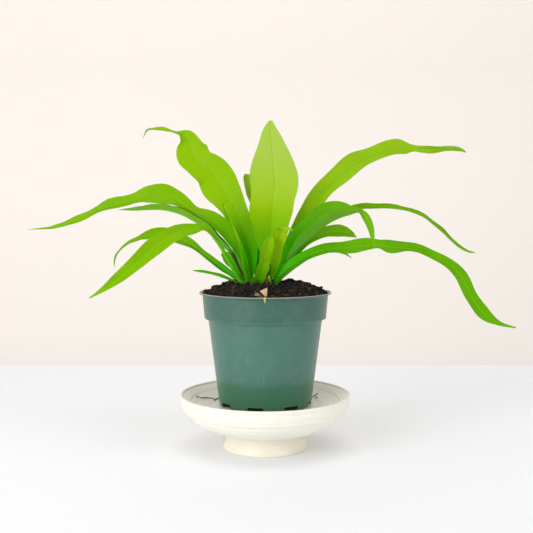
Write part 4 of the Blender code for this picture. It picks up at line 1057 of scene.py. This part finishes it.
def blade_tree():
    """One blade skinned over its midrib stations: upper face, margin, underside with its rib."""
    sizes = {
        "Points around": "NodeSocketInt",
        "Blade thickness": "NodeSocketFloat",
        "Rib thickness": "NodeSocketFloat",
        "Rib width": "NodeSocketFloat",
        "Camber": "NodeSocketFloat",
        "Quilting": "NodeSocketFloat",
        "Material": "NodeSocketMaterial",
    }
    tree, given, out = new_tree("frond_blade", sizes)
    line = given.outputs["Geometry"]
    count = put(tree, "GeometryNodeAttributeDomainSize", {"Geometry": line}).outputs["Point Count"]
    grid = put(
        tree,
        "GeometryNodeMeshGrid",
        {"Size X": 1.0, "Size Y": 1.0, "Vertices X": count, "Vertices Y": given.outputs["Points around"]},
    )
    spot = put(tree, "ShaderNodeSeparateXYZ", {"Vector": put(tree, "GeometryNodeInputPosition")})
    last = put(tree, MATH, (count, 1.0), operation="SUBTRACT")
    share = put(tree, MATH, (spot.outputs["X"], 0.5), operation="ADD")
    exact = put(tree, MATH, (share, last), operation="MULTIPLY")
    station = put(tree, MATH, (exact,), operation="ROUND")

    def at_station(name, kind):
        """A value of the midrib's station for each point of the skin."""
        value = put(tree, "GeometryNodeInputNamedAttribute", {"Name": name}, data_type=kind).outputs[0]
        return put(
            tree,
            "GeometryNodeSampleIndex",
            {"Geometry": line, "Value": value, "Index": station},
            data_type=kind,
            domain="POINT",
        )

    midrib = put(
        tree,
        "GeometryNodeSampleIndex",
        {"Geometry": line, "Value": put(tree, "GeometryNodeInputPosition"), "Index": station},
        data_type="FLOAT_VECTOR",
        domain="POINT",
    )
    reach, lift, face = (at_station(name, "FLOAT_VECTOR") for name in ("reach", "lift", "face"))
    half_width, thick, run, tone = (at_station(n, "FLOAT") for n in ("half_width", "thick", "run", "tone"))
    wave_left, wave_right = at_station("wave_left", "FLOAT"), at_station("wave_right", "FLOAT")

    # Round the section: -1 to 0 crosses the upper side, 0 to 1 comes back along the underside.
    # Each step is its name, what it does, and the values or earlier steps that it takes.
    steps = {
        "y": spot.outputs["Y"],
        "half_width": half_width,
        "thick": thick,
        "camber": given.outputs["Camber"],
        "rib_width": given.outputs["Rib width"],
        "rib_thickness": given.outputs["Rib thickness"],
        "blade_thickness": given.outputs["Blade thickness"],
        "quilting": given.outputs["Quilting"],
    }
    section = (
        ("round_way", "MULTIPLY", "y", 2.0),
        ("unsigned", "ABSOLUTE", "round_way"),
        ("doubled", "MULTIPLY", "unsigned", 2.0),
        ("even", "SUBTRACT", "doubled", 1.0),
        ("turn", "MULTIPLY", "even", math.tau),
        ("sway", "SINE", "turn"),
        ("closer", "MULTIPLY", "sway", 0.75 / math.tau),
        ("across", "SUBTRACT", "even", "closer"),
        ("under", "GREATER_THAN", "round_way", 1e-5),
        ("outward", "ABSOLUTE", "across"),
        ("from_rib", "MULTIPLY", "outward", "half_width"),
        ("squared", "MULTIPLY", "outward", "outward"),
        ("inward", "SUBTRACT", "squared", "outward"),
        ("bowed", "MULTIPLY", "inward", "camber"),
        ("rise", "ADD", "outward", "bowed"),
        ("is_left", "GREATER_THAN", "across", 0.0),
        ("rib_share", "DIVIDE", "from_rib", "rib_width"),
        ("rib_squared", "MULTIPLY", "rib_share", "rib_share"),
        ("rib_fall", "MULTIPLY", "rib_squared", -1.0),
        ("rib", "POWER", math.e, "rib_fall"),
        ("groove", "MULTIPLY", "rib", -0.25 * MM),
        ("rib_full", "MULTIPLY", "rib", "rib_thickness"),
        ("full", "ADD", "rib_full", "blade_thickness"),
        ("edge", "POWER", "outward", 9.0),
        ("margin", "SUBTRACT", 1.0, "edge"),
        ("full_depth", "MULTIPLY", "full", "margin"),
        ("depth", "MULTIPLY", "full_depth", "thick"),
        ("under_depth", "MULTIPLY", "depth", "under"),
    )
    for name, operation, *values in section:
        row = [steps[value] if isinstance(value, str) else value for value in values]
        steps[name] = put(tree, MATH, row, operation=operation)
    across, under, from_rib = steps["across"], steps["under"], steps["from_rib"]
    wave_ends = {0: steps["is_left"], 2: wave_right, 3: wave_left}
    steps["wave"] = put(tree, "ShaderNodeMix", wave_ends, data_type="FLOAT")
    spread = put(tree, "ShaderNodeVectorMath", {0: reach, "Scale": across}, operation="SCALE")
    lifted = put(tree, "ShaderNodeVectorMath", {0: lift, "Scale": steps["rise"]}, operation="SCALE")
    level = put(tree, "ShaderNodeVectorMath", (midrib, spread), operation="ADD")
    upper = put(tree, "ShaderNodeVectorMath", (level, lifted), operation="ADD")
    steps["quilt"] = put(tree, NOISE, {"Vector": upper, "Scale": 95.0, "Detail": 2.0})
    relief = (
        ("waved", "MULTIPLY", "wave", "squared"),
        ("centred", "SUBTRACT", "quilt", 0.5),
        ("quilted", "MULTIPLY", "centred", "quilting"),
        ("uneven", "ADD", "quilted", "groove"),
        ("uneven_thick", "MULTIPLY", "uneven", "thick"),
        ("raised", "ADD", "waved", "uneven_thick"),
        ("shift", "SUBTRACT", "raised", "under_depth"),
    )
    for name, operation, *values in relief:
        row = [steps[value] if isinstance(value, str) else value for value in values]
        steps[name] = put(tree, MATH, row, operation=operation)
    moved = put(tree, "ShaderNodeVectorMath", {0: face, "Scale": steps["shift"]}, operation="SCALE")
    final_place = put(tree, "ShaderNodeVectorMath", (upper, moved), operation="ADD")
    # The values are stored while the grid is still flat, because they are read from its points' places.
    held = grid
    marks = {"run": run, "tone": tone, "across": across, "from_rib": from_rib, "underside": under}
    marks |= {label: at_station(label, "FLOAT") for label in ("paleness", "dried")}
    for name, value in marks.items():
        held = put(
            tree,
            "GeometryNodeStoreNamedAttribute",
            {"Geometry": held, "Name": name, "Value": value},
            data_type="FLOAT",
            domain="POINT",
        )
    skin = put(tree, "GeometryNodeSetPosition", {"Geometry": held, "Position": final_place})
    closed = put(tree, "GeometryNodeMergeByDistance", {"Geometry": skin, "Distance": 2e-6})
    outward_faces = put(tree, "GeometryNodeFlipFaces", {"Mesh": closed})
    smooth = put(tree, "GeometryNodeSetShadeSmooth", {"Geometry": outward_faces})
    real = put(tree, "GeometryNodeRealizeInstances", {"Geometry": smooth})
    finished = put(
        tree,
        "GeometryNodeSetMaterial",
        {"Geometry": real, "Material": given.outputs["Material"]},
    )
    tree.links.new(finished.outputs[0], out.inputs[0])
    return tree


def fern_blade():
    """Living blade: soft wax gloss, a bright green at the foot that is lifted as painted light against the
    shade among the stalks, lime above, fine veins from the midrib to the margin, paler underneath, and
    yellow-green light through it. The veins are drawn 2 mm apart."""
    material, tree = new_material("fern_blade")

    place = put(tree, "ShaderNodeTexCoord").outputs["Object"]
    labels = ("run", "tone", "paleness", "dried", "from_rib", "underside")
    marks = [put(tree, "ShaderNodeAttribute", attribute_name=label).outputs["Fac"] for label in labels]
    run, tone, paleness, dried, from_rib, under = marks
    broad = put(tree, NOISE, {"Vector": place, "Scale": 42.0, "Detail": 3.0})
    fine = put(tree, NOISE, {"Vector": place, "Scale": 210.0, "Detail": 4.0})
    dots = put(tree, "ShaderNodeTexVoronoi", {"Vector": place, "Scale": 190.0, "Randomness": 1.0})
    ragged = put(tree, MATH, (broad, 20 * MM), operation="MULTIPLY")
    age = put(tree, MATH, (run, ragged), operation="ADD")
    lean = put(tree, MATH, (from_rib, VEIN_LEAN), operation="MULTIPLY")
    vein_run = put(tree, MATH, (run, lean), operation="SUBTRACT")
    vein_turn = put(tree, MATH, (vein_run, math.tau / VEIN_SPACING), operation="MULTIPLY")
    veins = put(tree, MATH, (vein_turn,), operation="SINE")
    # What each amount is read from, where it starts and ends, and its value at both.
    ranges = {
        "grown": (age, 14 * MM, 95 * MM, 0.0, 1.0),
        "off_rib": (from_rib, 0.8 * MM, 2.5 * MM, 0.0, 1.0),
        "off_foot": (run, 40 * MM, 70 * MM, 0.0, 1.0),
        "crest": (veins, 0.2, 1.0, 0.0, 1.0),
        "patch": (broad, 0.52, 0.74, 0.0, 0.25),
        "mottle": (fine, 0.58, 0.78, 0.0, 0.10),
        "rib": (from_rib, 1.1 * MM, 0.3 * MM, 0.0, 0.40),
        "speck": (dots, 0.11, 0.05, 0.0, 0.22),
    }
    amount = {}
    for name, row in ranges.items():
        amount[name] = put(tree, MAP_RANGE, row, interpolation_type="SMOOTHSTEP")
    vein_show = put(tree, MATH, (amount["off_rib"], amount["off_foot"]), operation="MULTIPLY")
    vein_crest = put(tree, MATH, (amount["crest"], vein_show), operation="MULTIPLY")
    vein_amount = put(tree, MATH, (vein_crest, 0.16), operation="MULTIPLY")
    yellowed = put(tree, MATH, (tone, amount["grown"]), operation="MULTIPLY")
    # The green at the foot is lifted brighter than higher up: painted light against the shade among the
    # crowded stalks.
    stops = ((0.0, "#50D400"), (0.30, "#54C400"), (0.70, "#5CB400"), (1.0, "#68B600"))
    coats = (
        (yellowed, "#B2D604"),
        (paleness, "#B8D45C"),
        (amount["patch"], "#A2D00A"),
        (vein_amount, "#6FAE00"),
        (amount["mottle"], "#A9D028"),
        (amount["rib"], "#8FCB18"),
    )
    top = layered(tree, ramped(tree, amount["grown"], stops), coats)
    pale_side = layered(tree, top, ((0.5, "#93C94A"),))
    turned_over = put(tree, MATH, (under, 0.6), operation="MULTIPLY")
    sides = {0: turned_over, 6: top, 7: pale_side}
    sided = put(tree, "ShaderNodeMix", sides, data_type="RGBA").outputs[2]
    browned = layered(tree, sided, ((amount["speck"], "#E3F0C0"), (dried, "#4A3323")))
    vein_depth = put(tree, MATH, (vein_show, 0.35), operation="MULTIPLY")
    vein_relief = put(tree, MATH, (veins, vein_depth), operation="MULTIPLY")
    relief = put(tree, MATH, (vein_relief, fine), operation="ADD")
    bump = put(tree, "ShaderNodeBump", {"Strength": 0.30, "Distance": 0.0003, "Height": relief})
    leaf = put(
        tree,
        "ShaderNodeBsdfPrincipled",
        {"Base Color": browned, "Roughness": 0.42, "IOR": 1.42, "Specular IOR Level": 0.09, "Normal": bump},
    )
    glow = put(tree, "ShaderNodeBsdfTranslucent", {"Color": browned, "Normal": bump})
    shader = put(tree, "ShaderNodeMixShader", {0: 0.30, 1: leaf.outputs[0], 2: glow.outputs[0]})
    return surfaced(material, shader)


blade_skin = blade_tree()
blade_green = fern_blade()
for name, (direction, rows) in FRONDS.items():
    stations = midrib_stations(direction, rows, WAVES.get(name, SMALL_WAVE))
    # Fronds at the front start their colour further grown: painted light, lighter and yellower than their
    # shade gives.
    stations["run"] = stations["run"] + PAINTED_LIGHT_AHEAD.get(name, 0.0)
    stations["tone"] = np.full(len(stations["run"]), TONES.get(name, 0.1))
    paled = np.clip((stations["run"] - PALE_FROM) / PALE_OVER, 0.0, 1.0)
    stations["paleness"] = paled * PALE_TOPS.get(name, 0.0)
    stations["dried"] = np.clip((DRIED_STALKS.get(name, -1.0) - stations["run"]) / DRIED_OVER, 0.0, 0.85)
    blade = new_piece(name + "_blade", midrib_mesh(name, stations), blade_green)
    blade_sizes = {
        "Points around": POINTS_AROUND,
        "Blade thickness": BLADE_THICKNESS,
        "Rib thickness": RIB_THICKNESS,
        "Rib width": RIB_WIDTH,
        "Camber": 0.25,
        "Quilting": 0.7 * MM,
        "Material": blade_green,
    }
    grown(blade, blade_skin, blade_sizes)
    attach(blade, "root")
    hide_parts(name)


# ---------------------------------------------------------------- Dead stipe and bud
# The stub of a frond that has died, thick and reddish at its foot and drawn out to a dark dry spike, and
# a tiny green bud beside it. Both grow from the crown's front edge.


def tube_mesh(name, rows, around=14):
    """A round tapering tube through rows of x, y, z and radius, in metres, with rounded ends."""
    rows = np.asarray(rows, float)
    path = smooth_path(rows, np.linspace(0.0, len(rows) - 1.0, 9 * len(rows)))
    points, radii = path[:, :3], np.maximum(path[:, 3], 0.05 * MM)
    along = unit(np.gradient(points, axis=0))
    side = unit(np.cross(along, (0.31, 0.17, 0.94)))
    other = np.cross(along, side)
    angles = np.linspace(0.0, math.tau, around, endpoint=False)
    build = bmesh.new()
    rings = []
    for i in range(len(points)):
        ring = [points[i] + radii[i] * (math.cos(a) * side[i] + math.sin(a) * other[i]) for a in angles]
        rings.append([build.verts.new(spot) for spot in ring])
    first = build.verts.new(points[0] - along[0] * radii[0] * 0.6)
    final = build.verts.new(points[-1] + along[-1] * radii[-1] * 0.6)
    for i in range(around):
        j = (i + 1) % around
        build.faces.new((rings[0][j], rings[0][i], first))
        build.faces.new((rings[-1][i], rings[-1][j], final))
        for lower, upper in zip(rings, rings[1:]):
            build.faces.new((lower[i], lower[j], upper[j], upper[i]))
    return smooth_mesh(name, build)


def dry_stem(name, low_colour, high_colour, low_z, high_z, roughness):
    """Plant tissue that changes colour with height, with fine lengthwise fibre."""
    material, tree = new_material(name)
    place = put(tree, "ShaderNodeTexCoord").outputs["Object"]
    height = put(tree, "ShaderNodeSeparateXYZ", {"Vector": place}).outputs["Z"]
    share = put(tree, MAP_RANGE, {"Value": height, "From Min": low_z, "From Max": high_z})
    colour = layered(tree, low_colour, ((share, high_colour),))
    stretched = put(tree, "ShaderNodeMapping", {"Vector": place, "Scale": (900.0, 900.0, 120.0)})
    grain = put(tree, NOISE, {"Vector": stretched, "Scale": 1.0, "Detail": 3.0})
    bump = put(tree, "ShaderNodeBump", {"Strength": 0.5, "Distance": 0.0003, "Height": grain})
    shader = put(
        tree,
        "ShaderNodeBsdfPrincipled",
        {"Base Color": colour, "Roughness": roughness, "IOR": 1.45, "Normal": bump},
    )
    return surfaced(material, shader)


DEAD_STIPE = [
    (4.3, -17.0, 0.5, 1.7),
    (4.6, -17.5, 4.0, 1.8),
    (5.4, -18.5, 9.5, 1.2),
    (7.0, -20.5, 18.5, 0.3),
]
TINY_BUD = [(7.6, -16.5, 0.8, 0.8), (7.4, -19.5, 3.5, 0.7), (6.2, -22.6, 7.6, 0.9), (5.8, -23.2, 9.6, 0.6)]
crown_top_z = float(CROWN_TOP[2])
stub_rows = np.array(DEAD_STIPE) * MM + np.append(CROWN_TOP, 0.0)
stub_skin = dry_stem("dead_stipe_skin", "#7A3A2C", "#3B2318", crown_top_z, crown_top_z + 12 * MM, 0.6)
stub = new_piece("dead_stipe_stub", tube_mesh("dead_stipe_stub", stub_rows), stub_skin)
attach(stub, "root")
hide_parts("dead_stipe")
bud_rows = np.array(TINY_BUD) * MM + np.append(CROWN_TOP, 0.0)
bud_skin = dry_stem("young_bud_skin", "#4C7A10", "#7FB81E", crown_top_z, crown_top_z + 8 * MM, 0.45)
bud = new_piece("young_bud", tube_mesh("young_bud", bud_rows), bud_skin)
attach(bud, "root")
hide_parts("tiny_bud")


# ---------------------------------------------------------------- Chips
# A pale split wood chip standing in the mix, a sliver of it hanging over the pot's lip, and a scrap of old
# leaf. The chip is raw dry wood with its grain along its length.


def bare_chip(name, base_colour, dark_colour):
    """Split dry wood or leaf: matt, with soft darker streaks along the grain."""
    material, tree = new_material(name)
    place = put(tree, "ShaderNodeTexCoord").outputs["Object"]
    stretched = put(tree, "ShaderNodeMapping", {"Vector": place, "Scale": (1300.0, 900.0, 160.0)})
    grain = put(tree, NOISE, {"Vector": stretched, "Scale": 1.0, "Detail": 4.0})
    colour = layered(tree, dark_colour, ((grain, base_colour),))
    bump = put(tree, "ShaderNodeBump", {"Strength": 0.6, "Distance": 0.0003, "Height": grain})
    shader = put(
        tree,
        "ShaderNodeBsdfPrincipled",
        {"Base Color": colour, "Roughness": 0.75, "IOR": 1.45, "Normal": bump},
    )
    return surfaced(material, shader)


def chip_mesh(name, node):
    """A rounder, slightly rough copy of a chip's solid."""
    build = bmesh.new()
    build.from_mesh(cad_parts[node].data)
    bmesh.ops.remove_doubles(build, verts=build.verts, dist=1e-6)
    bmesh.ops.dissolve_limit(build, angle_limit=0.02, verts=build.verts, edges=build.edges)
    bmesh.ops.bevel(build, geom=build.edges, offset=0.12 * MM, segments=2, affect="EDGES", profile=0.6)
    mesh = smooth_mesh(name, build)
    mesh.set_sharp_from_angle(angle=math.radians(50.0))
    return mesh


raw_wood = bare_chip("raw_split_wood", "#DCC09A", "#A98258")
old_leaf = bare_chip("old_leaf", "#8B8D5A", "#54562F")
for node, label, skin, finish in (
    ("wood_chip", "split_wood_chip", raw_wood, "pale_bark"),
    ("bark_sliver", "hanging_sliver", raw_wood, "pale_bark"),
    ("leaf_scrap", "old_leaf_scrap", old_leaf, "old_leaf"),
):
    chip = new_piece(label, chip_mesh(label, node), skin)
    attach(chip, "root")
    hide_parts(node)


# ---------------------------------------------------------------- Rootlets
# Thin brown rootlets and crumbs that water has carried out of the drain slots. They have dried on the
# dish's floor beside the pot's foot.

ROOTLETS = {
    "loose_rootlet_1": ((168.5, 0.59), (164.5, 0.52), (160.5, 0.43), (158.0, 0.29)),
    "loose_rootlet_2": ((168.0, 0.71), (169.5, 0.65), (166.5, 0.65)),
    "loose_rootlet_3": ((164.5, 0.22), (159.5, 0.22), (153.0, 0.20)),
    "loose_rootlet_4": ((31.0, 0.28), (32.5, 0.40), (34.5, 0.56)),
    "loose_rootlet_5": ((26.0, 0.29), (24.5, 0.36)),
}
ROOTLET_RADIUS = 0.42 * MM

root_skin = dry_stem("dry_root_skin", "#5A3528", "#6E4433", DISH_FLOOR_Z, DISH_FLOOR_Z + 6 * MM, 0.85)
floor_width = DISH_LIP_RADIUS - DISH_LIP_WIDTH - POT_FOOT_RADIUS
dice = np.random.default_rng(12)
for name, places in ROOTLETS.items():
    rows = []
    for degrees, share in places:
        angle, radius = math.radians(degrees), POT_FOOT_RADIUS + floor_width * share
        z = float(dish_inside_z(radius)) + ROOTLET_RADIUS + 0.1 * MM
        thickness = ROOTLET_RADIUS * dice.uniform(0.7, 1.1)
        rows.append((radius * math.cos(angle), radius * math.sin(angle), z, thickness))
    root = new_piece(name.replace("loose", "washed_out"), tube_mesh(name, rows, 10), root_skin)
    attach(root, "root")
    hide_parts(name)
